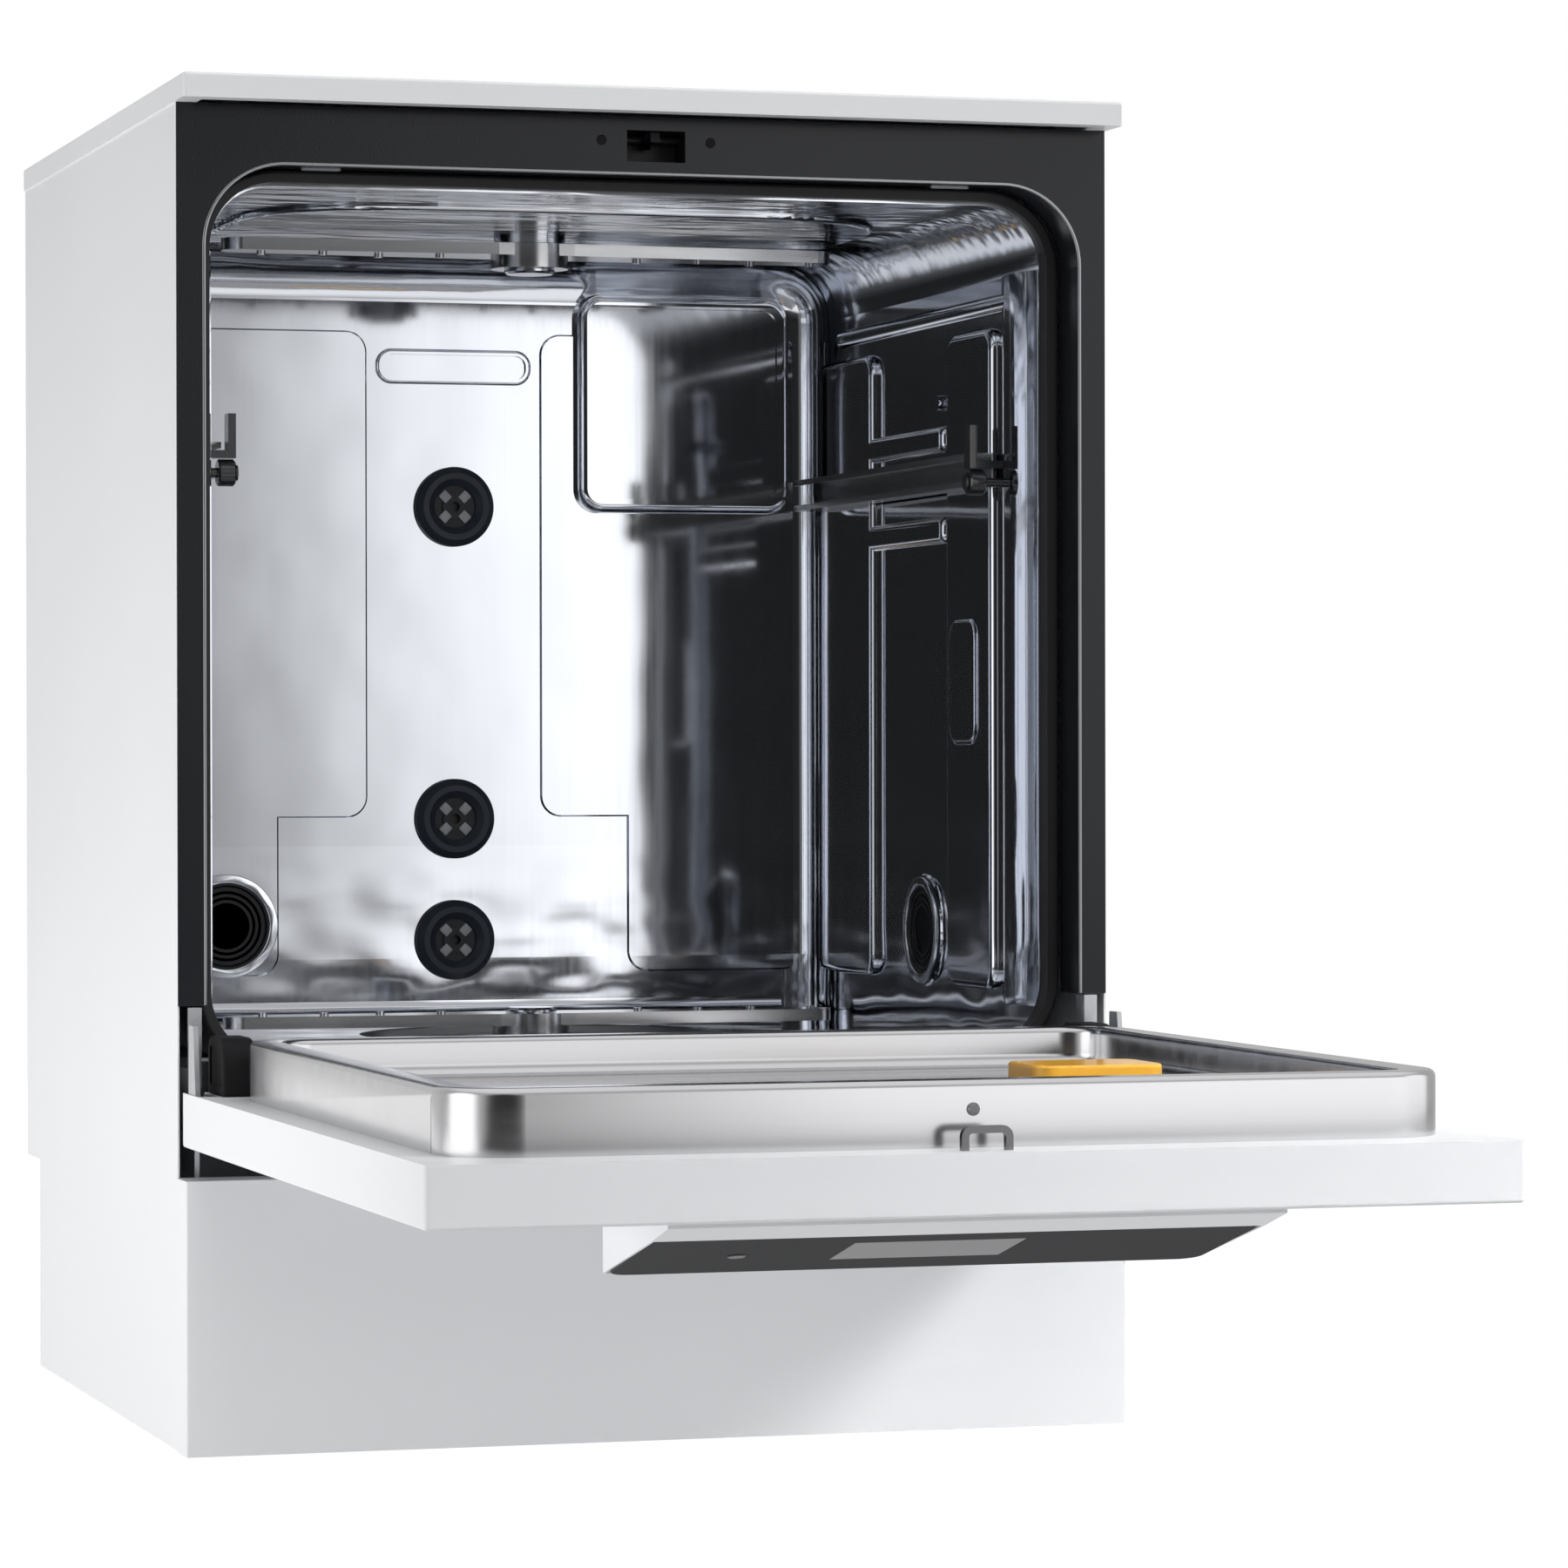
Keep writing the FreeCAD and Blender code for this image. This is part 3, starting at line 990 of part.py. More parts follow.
def make_rails():
    seat = f"(-{WALL} + side_rise)"
    top = "(rail_foot + rail_height)"
    lip = f"{seat} + rail_width - rail_sheet"
    outline = [(seat, "rail_foot"), (f"{seat} + rail_width", "rail_foot"),
               (f"{seat} + rail_width", "rail_foot + rail_lip"),
               (lip, "rail_foot + rail_lip"), (lip, "rail_foot + rail_sheet"),
               (f"{seat} + rail_sheet", "rail_foot + rail_sheet"),
               (f"{seat} + rail_sheet", f"{top} - rail_sheet"),
               (lip, f"{top} - rail_sheet"), (lip, f"{top} - rail_lip"),
               (f"{seat} + rail_width", f"{top} - rail_lip"),
               (f"{seat} + rail_width", top), (seat, top)]
    rail = plate("rail_left_bent", FACING, ("0", "rail_front + rail_length", "0"), outline, "rail_length")
    node("rail_left", rail)
    node("rail_right", mirror("rail_right_bent", rail))

    wall = f"-{WALL}"
    rear = "(rail_front - 1)"
    front = f"({rear} - catch_length)"
    axle = "(rail_foot + rail_lip / 2)"
    base = slab("catch_plate", (wall, f"{wall} + catch_base"), (front, rear),
                ("rail_foot - roller_radius", "rail_foot + catch_rise"))
    arm = slab("catch_arm_block", (wall, f"{wall} + catch_reach"),
               (f"{front} + catch_arm", f"{rear} - catch_arm"),
               ("rail_foot + catch_knee", "rail_foot + catch_knee + catch_arm"))
    finger = slab("catch_finger", (f"{wall} + catch_reach - finger_thick", f"{wall} + catch_reach"),
                  (f"{front} + catch_arm", f"{rear} - catch_arm"),
                  ("rail_foot + catch_knee", "rail_foot + catch_rise"))
    middle = f"({front} + catch_length / 2)"
    pin = rod("catch_pin", (wall, middle, axle), TO_RIGHT, "roller_pin", "catch_reach + head_thick")
    head = rod("catch_head", (f"{wall} + catch_reach + seat_gap", middle, axle), TO_RIGHT, "roller_head",
               "head_thick")
    catch = node("catch_left", join("catch_joined", base, arm, finger, pin, head))
    node("catch_right", mirror("catch_right_copy", catch))
    bore = "roller_pin + slide_fit"
    profile = [(bore, "0"), ("roller_radius - 1", "0"), ("roller_radius", "1"),
               ("roller_radius", "roller_width - 1"),
               ("roller_radius - 1", "roller_width"), (bore, "roller_width")]
    roller = turned("roller_left_turned", (f"{wall} + catch_reach - roller_width", middle, axle), TO_RIGHT,
                    profile)
    node("roller_left", roller)
    node("roller_right", mirror("roller_right_copy", roller))


def make_base_equipment():
    bottom = f"({TUB_LOW} - sump_depth)"
    volute = rod("pump_volute", ("-pump_half", "sump_place", "pump_level"), TO_RIGHT, "pump_radius",
                 "2 * pump_half")
    motor = rod("pump_motor", ("0", "sump_place", "pump_level"), TO_RIGHT, "motor_radius",
                "pump_half + motor_length")
    pipe = rod("pump_inlet", ("0", "sump_place", "pump_level"), FLAT, "pump_pipe", f"{bottom} - pump_level")
    saddle = slab("pump_saddle", ("pump_half + saddle_margin", "pump_half + motor_length - saddle_margin"),
                  ("sump_place - saddle_width / 2", "sump_place + saddle_width / 2"),
                  (BASE_TOP, "pump_level - motor_radius + saddle_overlap"))
    node("circulation_pump", join("pump_joined", volute, motor, pipe, saddle))

    seat = "skin_thick + nut_thick"
    profile = [("0", "-inlet_tail"), ("inlet_body", "-inlet_tail"), ("inlet_body", "0"), ("inlet_neck", "0"),
               ("inlet_neck", "skin_thick"), ("inlet_nut", "skin_thick"), ("inlet_nut", seat),
               ("inlet_thread", seat),
               ("inlet_thread", f"{seat} + inlet_length"), ("inlet_bore", f"{seat} + inlet_length"),
               ("inlet_bore", "0"), ("0", "0")]
    inside = f"{STEP} - skin_thick"
    ports = rear_ports()
    valves = [turned(f"inlet_{i}", (ports[i][0], inside, "inlet_level"), AWAY, profile) for i in range(2)]
    node("inlet_valves", join("inlet_pair", *valves))
    profile = [("gland_bore", "-gland_length / 2"), ("gland_thread", "-gland_length / 2"),
               ("gland_thread", "skin_thick"),
               ("gland_head", "skin_thick"), ("gland_head", "gland_length / 2"),
               ("gland_head - gland_length / 4", "gland_length"), ("gland_bore", "gland_length")]
    node("cable_gland", turned("gland_turned", (ports[2][0], inside, "inlet_level"), AWAY, profile))


def make_lock():
    low, high = f"{OPEN_TOP} + frame_skin", f"{LID} - frame_skin"
    body = slab("lock_block", ("lock_across - lock_body / 2", "lock_across + lock_body / 2"),
                (FRAME_BACK, f"{FRAME_BACK} + lock_depth"), (low, high))
    half = "(lock_width / 2 + lock_slack)"
    cave = slab("lock_cave", (f"lock_across - {half}", f"lock_across + {half}"),
                (f"{FRAME_BACK} - 1", f"{FRAME_BACK} + lock_depth - lock_wall"),
                ("lock_level - lock_height / 2 - 1", "lock_level + lock_height / 2 + lock_slack"))
    y, z = f"({FRAME} + hook_back)", "(lock_level + hook_lift)"
    pin = rod("lock_pin", (f"lock_across - {half} - 1", y, z), TO_RIGHT, "hook_pin", f"2 * {half} + 2")
    node("lock_housing", join("lock_pinned", cut("lock_hollow", body, cave), pin))

    back = "hook_back"
    outline = [("4", "5"), ("-4", "6"), (f"7 - {back}", "6"), (f"3 - {back}", "2.5"),
               (f"1.4 - {back}", "-3.6"),
               (f"4.4 - {back}", "-3.6"), (f"4.8 - {back}", "0.5"), (f"7.4 - {back}", "2.7"), ("-12", "2.4"),
               ("-5", "-4"), ("4", "-4")]
    start = "lock_across - hook_thick / 2"
    blade = plate("hook_blade", SIDEWAYS, (start, y, z), outline, "hook_thick")
    ring = rod("hook_eye", (start, y, z), TO_RIGHT, "hook_ring", "hook_thick")
    bore = rod("hook_bore", (f"{start} - 1", y, z), TO_RIGHT, "hook_pin + slide_fit", "hook_thick + 2")
    node("latch_hook", cut("hook_solid", join("hook_joined", blade, ring), bore))


def make_door_panel():
    length = DOOR_LENGTH
    block = rounded("door_block", DOWN, (f"-{DOOR_HALF}", DOOR_REAR, DOOR_HIGH), (f"2 * {DOOR_HALF}", length),
                    "door_corner", "door_thick", "door_edge")
    inside = slab("door_inside", both(f"{DOOR_HALF} - door_skin"),
                  (f"{DOOR_FRONT} + door_skin", f"{DOOR_REAR} - door_skin"),
                  (f"{DOOR_LOW} + door_skin", f"{DOOR_HIGH} - door_skin"))
    window = slab("door_window", both(f"{DOOR_HALF} - door_flange"),
                  (f"{LINER_FRONT} + liner_seat", f"{LINER_REAR} - liner_seat"),
                  (f"{DOOR_HIGH} - 2 * door_skin", f"{DOOR_HIGH} + 1"))
    slots = []
    for side in (-1, 1):
        across = ("post_face - slot_side", f"{DOOR_HALF} - door_skin")
        if side < 0:
            across = (f"-({across[1]})", f"-({across[0]})")
        slots.append(slab(f"door_slot_{side + 1}", across, (f"{DOOR_REAR} - hinge_slot", f"{DOOR_REAR} + 1"),
                          (f"{DOOR_LOW} + door_skin", f"{DOOR_HIGH} + 1")))
    node("door_panel", cut("door_folded", block, inside, window, *slots))


def make_liner():
    def tray(name, inset, low, high, radius, rim=None):
        size = (f"2 * ({LINER_HALF} - ({inset}))", f"{LINER_REAR} - {LINER_FRONT} - 2 * ({inset})")
        at = (f"-{LINER_HALF} + ({inset})", f"{LINER_FRONT} + ({inset})", low)
        return rounded(name, FLAT, at, size, radius, f"({high}) - ({low})", rim)

    hat = tray("liner_hat", "0", DOOR_HIGH, LINER_TOP, "liner_corner", "liner_edge")
    under = tray("liner_under", "liner_sheet", f"{DOOR_HIGH} - 1", f"{LINER_TOP} - liner_sheet",
                 "liner_corner - liner_sheet", "liner_edge - liner_sheet")
    pan = tray("liner_pan", "liner_rim - liner_sheet", f"{TRAY} - liner_sheet",
               f"{LINER_TOP} - liner_sheet / 2",
               "tray_corner + liner_sheet")
    dish = tray("liner_dish", "liner_rim", TRAY, f"{LINER_TOP} + 1", "tray_corner")
    width = "(disp_width - 2 * disp_margin + 2 * seat_gap)"
    depth = "(disp_length - 2 * disp_margin + 2 * seat_gap)"
    hole = rounded("liner_hole", FLAT,
                   (f"disp_across - {width} / 2", f"{DISP_Y} - {depth} / 2", f"{TRAY} - 3 * liner_sheet"),
                   (width, depth), "disp_corner - disp_margin / 2 + seat_gap", "4 * liner_sheet")
    shell = join("liner_joined", cut("liner_skin", hat, under), pan)
    node("door_liner", cut("liner_folded", shell, dish, hole))


DISP_Y = f"({DOOR_REAR} - disp_along)"


def make_dispenser():
    top = f"({TRAY} + disp_flange)"
    flange = rounded("disp_rim", FLAT, ("disp_across - disp_width / 2", f"{DISP_Y} - disp_length / 2", TRAY),
                     ("disp_width", "disp_length"), "disp_corner", "disp_flange")
    width, depth = "(disp_width - 2 * disp_margin)", "(disp_length - 2 * disp_margin)"
    tub = rounded("disp_tub", FLAT,
                  (f"disp_across - {width} / 2", f"{DISP_Y} - {depth} / 2", f"{TRAY} - disp_depth"),
                  (width, depth), "disp_corner - disp_margin / 2", "disp_depth + disp_flange")
    well = rounded("disp_well", FLAT,
                   (f"disp_across - {width} / 2 + 2 * disp_wall", f"{DISP_Y} - {depth} / 2 + 2 * disp_wall",
                                       f"{TRAY} - disp_depth + disp_wall"),
                   (f"{width} - 4 * disp_wall", f"{depth} - 4 * disp_wall"), "disp_corner / 2",
                   "disp_depth + 2 * disp_flange")
    y, z = f"({DISP_Y} + lid_setback)", f"({top} + lid_barrel + seat_gap)"
    ears = []
    for side in (-1, 1):
        low = "disp_across + lid_tongue + seat_gap"
        if side < 0:
            low = "disp_across - lid_tongue - seat_gap - lid_ear"
        ears.append(slab(f"disp_ear_{side + 1}", (low, f"{low} + lid_ear"),
                         (f"{y} - lid_barrel", f"{y} + lid_barrel"),
                         (TRAY, f"{z} + lid_barrel")))
    bore = rod("disp_bore", ("disp_across - 2 * lid_tongue", y, z), TO_RIGHT, "lid_pin + slide_fit",
               "4 * lid_tongue")
    node("dispenser_body", cut("disp_cut", join("disp_joined", flange, tub, *ears), well, bore))

    lid = rounded("lid_plate", FLAT,
                  ("disp_across - lid_width / 2", f"{DISP_Y} - lid_length / 2", f"{top} + seat_gap"),
                  ("lid_width", "lid_length"), "disp_corner", "lid_thick", "lid_edge")
    barrel = rod("lid_barrel_rod", ("disp_across - lid_tongue", y, z), TO_RIGHT, "lid_barrel",
                 "2 * lid_tongue")
    tongue = slab("lid_tongue_slab", ("disp_across - lid_tongue", "disp_across + lid_tongue"),
                  (f"{DISP_Y} + lid_length / 2 - lid_edge", y), (f"{z} - lid_pin", f"{z} + lid_pin"))
    reach = "(lid_tongue + seat_gap + lid_ear)"
    pin = rod("lid_pin_rod", (f"disp_across - {reach}", y, z), TO_RIGHT, "lid_pin", f"2 * {reach}")
    node("dispenser_lid", join("lid_joined", lid, barrel, tongue, pin))


def make_striker():
    y = f"({DOOR_REAR} - (lock_level - door_bottom))"
    outer = rounded("loop_outer", FACING,
                    ("lock_across - loop_half - loop_wire", f"{y} + loop_wire",
                     f"{DOOR_HIGH} - 2 * loop_corner"),
                    ("2 * (loop_half + loop_wire)", "loop_rise + 2 * loop_corner"), "loop_corner",
                    "2 * loop_wire")
    inner = rounded("loop_inner", FACING,
                    ("lock_across - loop_half + loop_wire", f"{y} + 2 * loop_wire",
                     f"{DOOR_HIGH} - 3 * loop_corner"),
                    ("2 * (loop_half - loop_wire)", "loop_rise - 2 * loop_wire + 3 * loop_corner"),
                    "loop_corner - 2 * loop_wire", "4 * loop_wire")
    below = slab("loop_below", ("lock_across - 2 * loop_half", "lock_across + 2 * loop_half"),
                 (f"{y} - 2 * loop_wire", f"{y} + 2 * loop_wire"),
                 (f"{DOOR_HIGH} - 3 * loop_corner", DOOR_HIGH))
    node("striker", cut("loop_bent", outer, inner, below))


def make_hinges():
    ear = "ear_radius"
    outline = [("0", f"-{ear}"), (f"{FRAME} + bracket_front - {PIVOT_Y}", f"-{ear}"),
               (f"{FRAME} + bracket_front - {PIVOT_Y}", f"bracket_foot - {PIVOT_Z}"),
               (f"{TUB} + post_front - {PIVOT_Y}", f"bracket_foot - {PIVOT_Z}"),
               (f"{TUB} + post_front - {PIVOT_Y}", f"bracket_top - {PIVOT_Z}"),
               (f"{FRAME} + bracket_front - {PIVOT_Y}", f"bracket_top - {PIVOT_Z}"),
               (f"{FRAME} + bracket_front - {PIVOT_Y}", f"{ear}"), ("0", f"{ear}")]
    pivot = (PIVOT_Y, PIVOT_Z)
    sheet_part = plate("bracket_sheet", SIDEWAYS, (f"-{BRACKET_OUT}", *pivot), outline, "bracket_thick")
    nose = rod("bracket_nose", (f"-{BRACKET_OUT}", *pivot), TO_RIGHT, ear, "bracket_thick")
    pin = rod("bracket_pin", (f"-{ARM_OUT}", *pivot), TO_RIGHT, "pin_radius", f"{ARM_OUT} - post_face")
    height = ("bracket_top - flag_overlap", "frame_foot - door_gap")
    flag = slab("bracket_flag", (f"-{BRACKET_OUT} - flag_width", "-post_face"),
                (FRAME, f"{FRAME} + bracket_thick / 2"), height)
    web = slab("bracket_web", (f"-{BRACKET_OUT}", "-post_face"), (FRAME, f"{FRAME} + 2 * bracket_front"),
               height)
    left = node("hinge_bracket_left", join("bracket_joined", sheet_part, nose, pin, flag, web))
    node("hinge_bracket_right", mirror("bracket_copy", left))

    floor = "door_skin - pivot_inset"
    outline = [("ear_width / 2 - 2", floor), ("ear_width / 2", "ear_width"), ("ear_width / 2 - 2", "ear_top"),
               ("-ear_width / 2", "ear_top"), ("-ear_width", f"{floor} + arm_height"),
               ("-arm_length", f"{floor} + arm_height"), ("-arm_length", floor)]
    lever = plate("arm_lever", SIDEWAYS, (f"-{ARM_OUT}", *pivot), outline, "arm_sheet")
    foot = slab("arm_foot", (f"-{DOOR_HALF} + door_skin", f"-{ARM_IN}"),
                (f"{PIVOT_Y} - arm_length", f"{DOOR_REAR} - hinge_slot - arm_sheet"),
                (f"{DOOR_LOW} + door_skin", f"{DOOR_LOW} + door_skin + arm_sheet"))
    bore = rod("arm_bore", (f"-{ARM_OUT} - 2", *pivot), TO_RIGHT, "pin_radius + slide_fit", "arm_sheet + 4")
    left = node("hinge_arm_left", cut("arm_cut", join("arm_joined", lever, foot), bore))
    node("hinge_arm_right", mirror("arm_copy", left))

    outline = [("0", "0"), ("0", "cover_height - cover_slope / 2"), ("-cover_slope / 2", "cover_height"),
               ("-cover_length + cover_slope", "cover_height"),
               ("-cover_length", "cover_height - cover_slope"),
               ("-cover_length", "0")]
    low = "-post_face + cover_side"
    rear = f"{DOOR_REAR} - cover_start"
    shell = plate("cover_shell", SIDEWAYS, (low, rear, DOOR_HIGH), outline, "cover_width")
    hollow = slab("cover_hollow", (f"{low} + cover_wall", f"{low} + cover_width - cover_wall"),
                  (f"{rear} - cover_length + cover_wall", f"{rear} - cover_wall"),
                  (f"{DOOR_HIGH} - 1", f"{DOOR_HIGH} + cover_height - cover_slope - cover_wall"))
    left = node("hinge_cover_left", cut("cover_cut", shell, hollow))
    node("hinge_cover_right", mirror("cover_copy", left))


def glass_outline(lift, start, run, thick):
    """Slanted strip on the handle: start and run along the glass, thick into the handle."""
    slope = "glass_drop / glass_run"
    a, b = f"({start})", f"({start} + {run})"
    high = [(a, f"-{a} * {slope} + {lift}"), (b, f"-{b} * {slope} + {lift}")]
    low = [(b, f"-{b} * {slope} + {lift} + {thick}"), (a, f"-{a} * {slope} + {lift} + {thick}")]
    return high + low


def make_controls():
    origin = (f"{DOOR_REAR} - glass_start", f"{DOOR_LOW} - glass_lead")
    drop = "(glass_drop * (glass_run + grip_lip) / glass_run)"
    outline = [("glass_start - grip_top", "glass_lead"), ("glass_start - grip_top", "glass_lead - grip_brow"),
               ("-1", "0"), ("glass_run + grip_lip / 2", f"-{drop} + grip_nose"),
               ("glass_run + grip_lip", f"-{drop} + 2 * grip_nose"),
               ("glass_run + grip_lip", "glass_lead")]
    block = plate("grip_block", SIDEWAYS, ("-grip_half", *origin), outline, "2 * grip_half")
    y = f"({DOOR_REAR} - glass_start + glass_run + grip_lip)"
    corners = []
    for side in (-1, 1):
        x = f"{side} * (grip_half - grip_corner)"
        square = slab(f"grip_square_{side + 1}",
                      (x, f"{x} + grip_corner + 1") if side > 0 else (f"{x} - grip_corner - 1", x),
                      (f"{y} - grip_corner", f"{y} + 1"), (f"{DOOR_LOW} - 4 * glass_lead", f"{DOOR_LOW} + 1"))
        disc = rod(f"grip_disc_{side + 1}", (x, f"{y} - grip_corner", f"{DOOR_LOW} - 5 * glass_lead"), FLAT,
                   "grip_corner",
                   "6 * glass_lead")
        corners.append(cut(f"grip_off_{side + 1}", square, disc))
    pocket = slab("grip_pocket", both("grip_half - grip_inset"), (f"{y} - grip_depth", f"{y} + 1"),
                  (f"{DOOR_LOW} - glass_lead - glass_drop / 2 + grip_wall", f"{DOOR_LOW} - grip_wall"))
    half = "(grip_half - glass_margin)"
    bed = plate("glass_bed", SIDEWAYS, (f"-{half} - seat_gap", *origin),
                glass_outline("-glass_thick", "-seat_gap", "glass_run + 2 * seat_gap", "2 * glass_thick"),
                f"2 * {half} + 2 * seat_gap")
    tilt = Rotation(Vector(1, 0, 0), 180 - math.degrees(math.atan2(sheet.glass_drop, sheet.glass_run)))
    key_y = f"({DOOR_REAR} - glass_start + key_run)"
    key_z = f"({DOOR_LOW} - glass_lead - key_run * glass_drop / glass_run)"
    share = f"glass_run / {GLASS_LENGTH}"
    lean = f"glass_drop / {GLASS_LENGTH}"
    back = "(key_length - key_rise)"
    key_at = ("-key_across", f"{key_y} + {back} * {lean}", f"{key_z} + {back} * {share}")
    deep = f"({back} + 2 * key_travel)"
    hole_at = ("-key_across", f"{key_y} + {deep} * {lean}", f"{key_z} + {deep} * {share}")
    key_hole = rod("key_hole", hole_at, tilt, "key_radius + key_fit", "2 * key_length + 2 * key_travel")
    node("control_housing", cut("grip_cut", block, *corners, pocket, bed, key_hole))

    pane = plate("glass_pane", SIDEWAYS, (f"-{half}", *origin),
                 glass_outline("0", "0", "glass_run", "glass_thick"), f"2 * {half}")
    screen_half = "(screen_half + key_fit)"
    gap = plate("glass_gap", SIDEWAYS, (f"screen_across - {screen_half}", *origin),
                glass_outline("-glass_thick", "screen_start - key_fit", "screen_run + 2 * key_fit",
                              "3 * glass_thick"),
                f"2 * {screen_half}")
    pane_hole = rod("pane_hole", hole_at, tilt, "key_radius + key_fit", "2 * key_length + 2 * key_travel")
    node("control_glass", cut("glass_cut", pane, gap, pane_hole))
    node("display_panel", plate("screen_pane", SIDEWAYS, ("screen_across - screen_half", *origin),
                                glass_outline("0", "screen_start", "screen_run", "glass_thick"),
                                "2 * screen_half"))
    profile = [("0", "0"), ("key_radius", "0"), ("key_radius", "key_length - 0.5"),
               ("key_radius - 0.5", "key_length"),
               ("0", "key_length")]
    node("power_button", turned("key_turned", key_at, tilt, profile))


def make_screws():
    profile = [("0", "0"), ("screw_radius", "0"), ("screw_radius", "screw_rise / 3"),
               ("screw_radius * 0.6", "screw_rise"), ("0", "screw_rise")]
    at = ("lock_across", LINER_FRONT, f"{DOOR_HIGH} + screw_level")
    node("door_screws", turned("liner_front_screw", at, FACING, profile))

    dot = [("0", "0"), ("dot_radius", "0"), ("dot_radius", "dot_rise / 2"), ("dot_radius * 0.8", "dot_rise"),
           ("0", "dot_rise")]
    heads = [turned(f"frame_screw_{side + 1}", (f"lock_across + {side} * dot_across", FRAME, "dot_level"),
                    FACING, dot)
             for side in (-1, 1)]
    for side in (-1, 1):
        for i in range(4):
            at = (f"{side} * ({INNER} - rear_screw_edge)", BACK, f"rear_screw_foot + {i} * rear_screw_pitch")
            heads.append(turned(f"rear_screw_{side + 1}_{i}", at, AWAY, profile))
    node("cabinet_screws", join("cabinet_screw_group", *heads))


def main():
    make_base()
    make_feet()
    make_panels()
    make_front_frame()
    make_tub()
    make_sump()
    make_arms()
    make_docks()
    make_vents()
    make_rails()
    make_base_equipment()
    make_lock()
    make_door_panel()
    make_liner()
    make_dispenser()
    make_striker()
    make_hinges()
    make_controls()
    make_screws()
    doc.recompute()
    failed = [thing.Name for thing in doc.Objects if "Invalid" in thing.State or "Error" in thing.State]
    if failed:
        raise RuntimeError("failed objects: " + ", ".join(failed))
    os.makedirs("parts", exist_ok=True)
    for thing in nodes:
        shape = thing.Shape
        if shape.isNull() or not shape.isValid() or not shape.Solids:
            raise RuntimeError("bad shape: " + thing.Label)
        print(f"{thing.Label}: {len(shape.Solids)} solid, {shape.Volume / 1000:.1f} cm3")
    for thing in nodes:
        thing.Shape.exportStep(f"parts/{thing.Label}.step")
    print(len(nodes), "sub-parts")


main()
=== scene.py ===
"""Looks of an undercounter laboratory dishwasher: materials, fine pieces, studio and camera."""

import math

import bmesh
import bpy
from bpy.props import FloatProperty, FloatVectorProperty, PointerProperty
from bpy.types import Operator, Panel, PropertyGroup
from mathutils import Matrix, Vector


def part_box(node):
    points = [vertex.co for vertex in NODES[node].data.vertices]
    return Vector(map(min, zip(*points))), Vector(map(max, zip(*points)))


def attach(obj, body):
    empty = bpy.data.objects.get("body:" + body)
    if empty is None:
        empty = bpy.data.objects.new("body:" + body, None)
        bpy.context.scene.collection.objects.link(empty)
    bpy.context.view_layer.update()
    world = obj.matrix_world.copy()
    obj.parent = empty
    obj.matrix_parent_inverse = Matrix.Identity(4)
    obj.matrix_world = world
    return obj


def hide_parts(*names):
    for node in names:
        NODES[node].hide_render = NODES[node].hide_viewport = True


bl_info = {
    "name": "Laboratory Dishwasher",
    "version": (1, 0, 0),
    "blender": (4, 5, 0),
    "location": "View3D > Sidebar > Dishwasher",
    "description": "Dresses a laboratory dishwasher with materials, fine pieces and a studio",
    "category": "Object",
}

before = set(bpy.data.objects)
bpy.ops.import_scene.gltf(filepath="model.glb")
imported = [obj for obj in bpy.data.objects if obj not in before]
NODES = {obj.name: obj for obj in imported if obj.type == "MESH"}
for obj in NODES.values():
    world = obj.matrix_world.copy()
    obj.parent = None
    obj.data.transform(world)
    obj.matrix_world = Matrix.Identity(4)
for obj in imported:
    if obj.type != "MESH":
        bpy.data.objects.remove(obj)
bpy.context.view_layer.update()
FINISHES = {}

# Limits of the tests that pick edges and faces
ALONG_AXIS = 0.99
FLAT = 0.999
TOUCH = 1e-5

# Shared sizes in metres, and the angle up to which drawn sheet is shaded smooth
FOIL = 0.0006
FRAME_TOP = 0.7845
ROUND_SIDES = 72
SHEET_ANGLE = 60

QUARTER_TURN = math.pi / 2
WHITE = (1, 1, 1, 1)

# Cards: azimuth right of the front, height, the two angles between which it fades, and brightness
# The floor's cards are painted light and shade in the floor's glow, seen only by mirroring surfaces
FLOOR_BASE = 0.45
FLOOR_CARDS = (
    ((-163, 0, 30, 55), 1.10),
    ((-80, 0, 22, 36), 2.00),
    ((-18, 0, 16, 34), 0.03),
    ((40, 0, 14, 26), 0.60),
)
WORLD_BASE = 0.555
WORLD_CARDS = (
    ((72, 0.08, 20, 34), 1.50),
    ((34, 0.08, 19, 25), 1.60),
    ((0, 100.0, 30, 62), 1.05),
    ((-85, 0.1, 16, 30), 1.9),
    ((-163, 0.1, 18, 42), 0.7),
    ((-18, 0.02, 16, 36), 0.02),
)

# Lamps: name, place, aim, size, power and spread
LAMPS = (
    ("overhead_softbox", (0.3, -1.2, 3.2), (0, -0.2, 0.3), (3.0, 2.4), 68, 180),
    ("front_softbox", (-0.3, -4.2, 1.5), (0, -0.5, 0.5), (3.0, 2.0), 42, 180),
    ("left_softbox", (-1.5, 0.0, 0.12), (-0.3, 0.0, 0.2), (1.4, 0.4), 14.6, 180),
    ("door_card", (-1.2, -0.9, 0.10), (-0.3, -0.65, 0.22), (0.5, 0.1), 0.42, 70),
    ("key", (2.4, -2.4, 1.9), (0.75, -1.0, 0.15), (0.7, 0.7), 4.6, 32),
    ("low_fill", (-0.05, -0.58, 0.008), (-0.05, -0.27, 0.03), (0.9, 0.016), 0.2, 180),
    ("right_softbox", (3.0, 1.2, 0.9), (0.3, 0.1, 0.4), (2.0, 1.6), 42, 180),
    ("rear_softbox", (0.0, 3.6, 1.0), (0.0, 0.3, 0.4), (2.0, 1.6), 60, 180),
)

# Camera: focal length and picture width in pixels, sensor width in mm, place, and yaw, pitch and roll
FOCAL_PIXELS = 6552.9
PICTURE_PIXELS = 1800.0
SENSOR_WIDTH = 36.0
CAMERA_PLACE = (-0.9400, -3.6881, 0.4232)
CAMERA_ANGLES = (16.694, -0.283, -0.103)


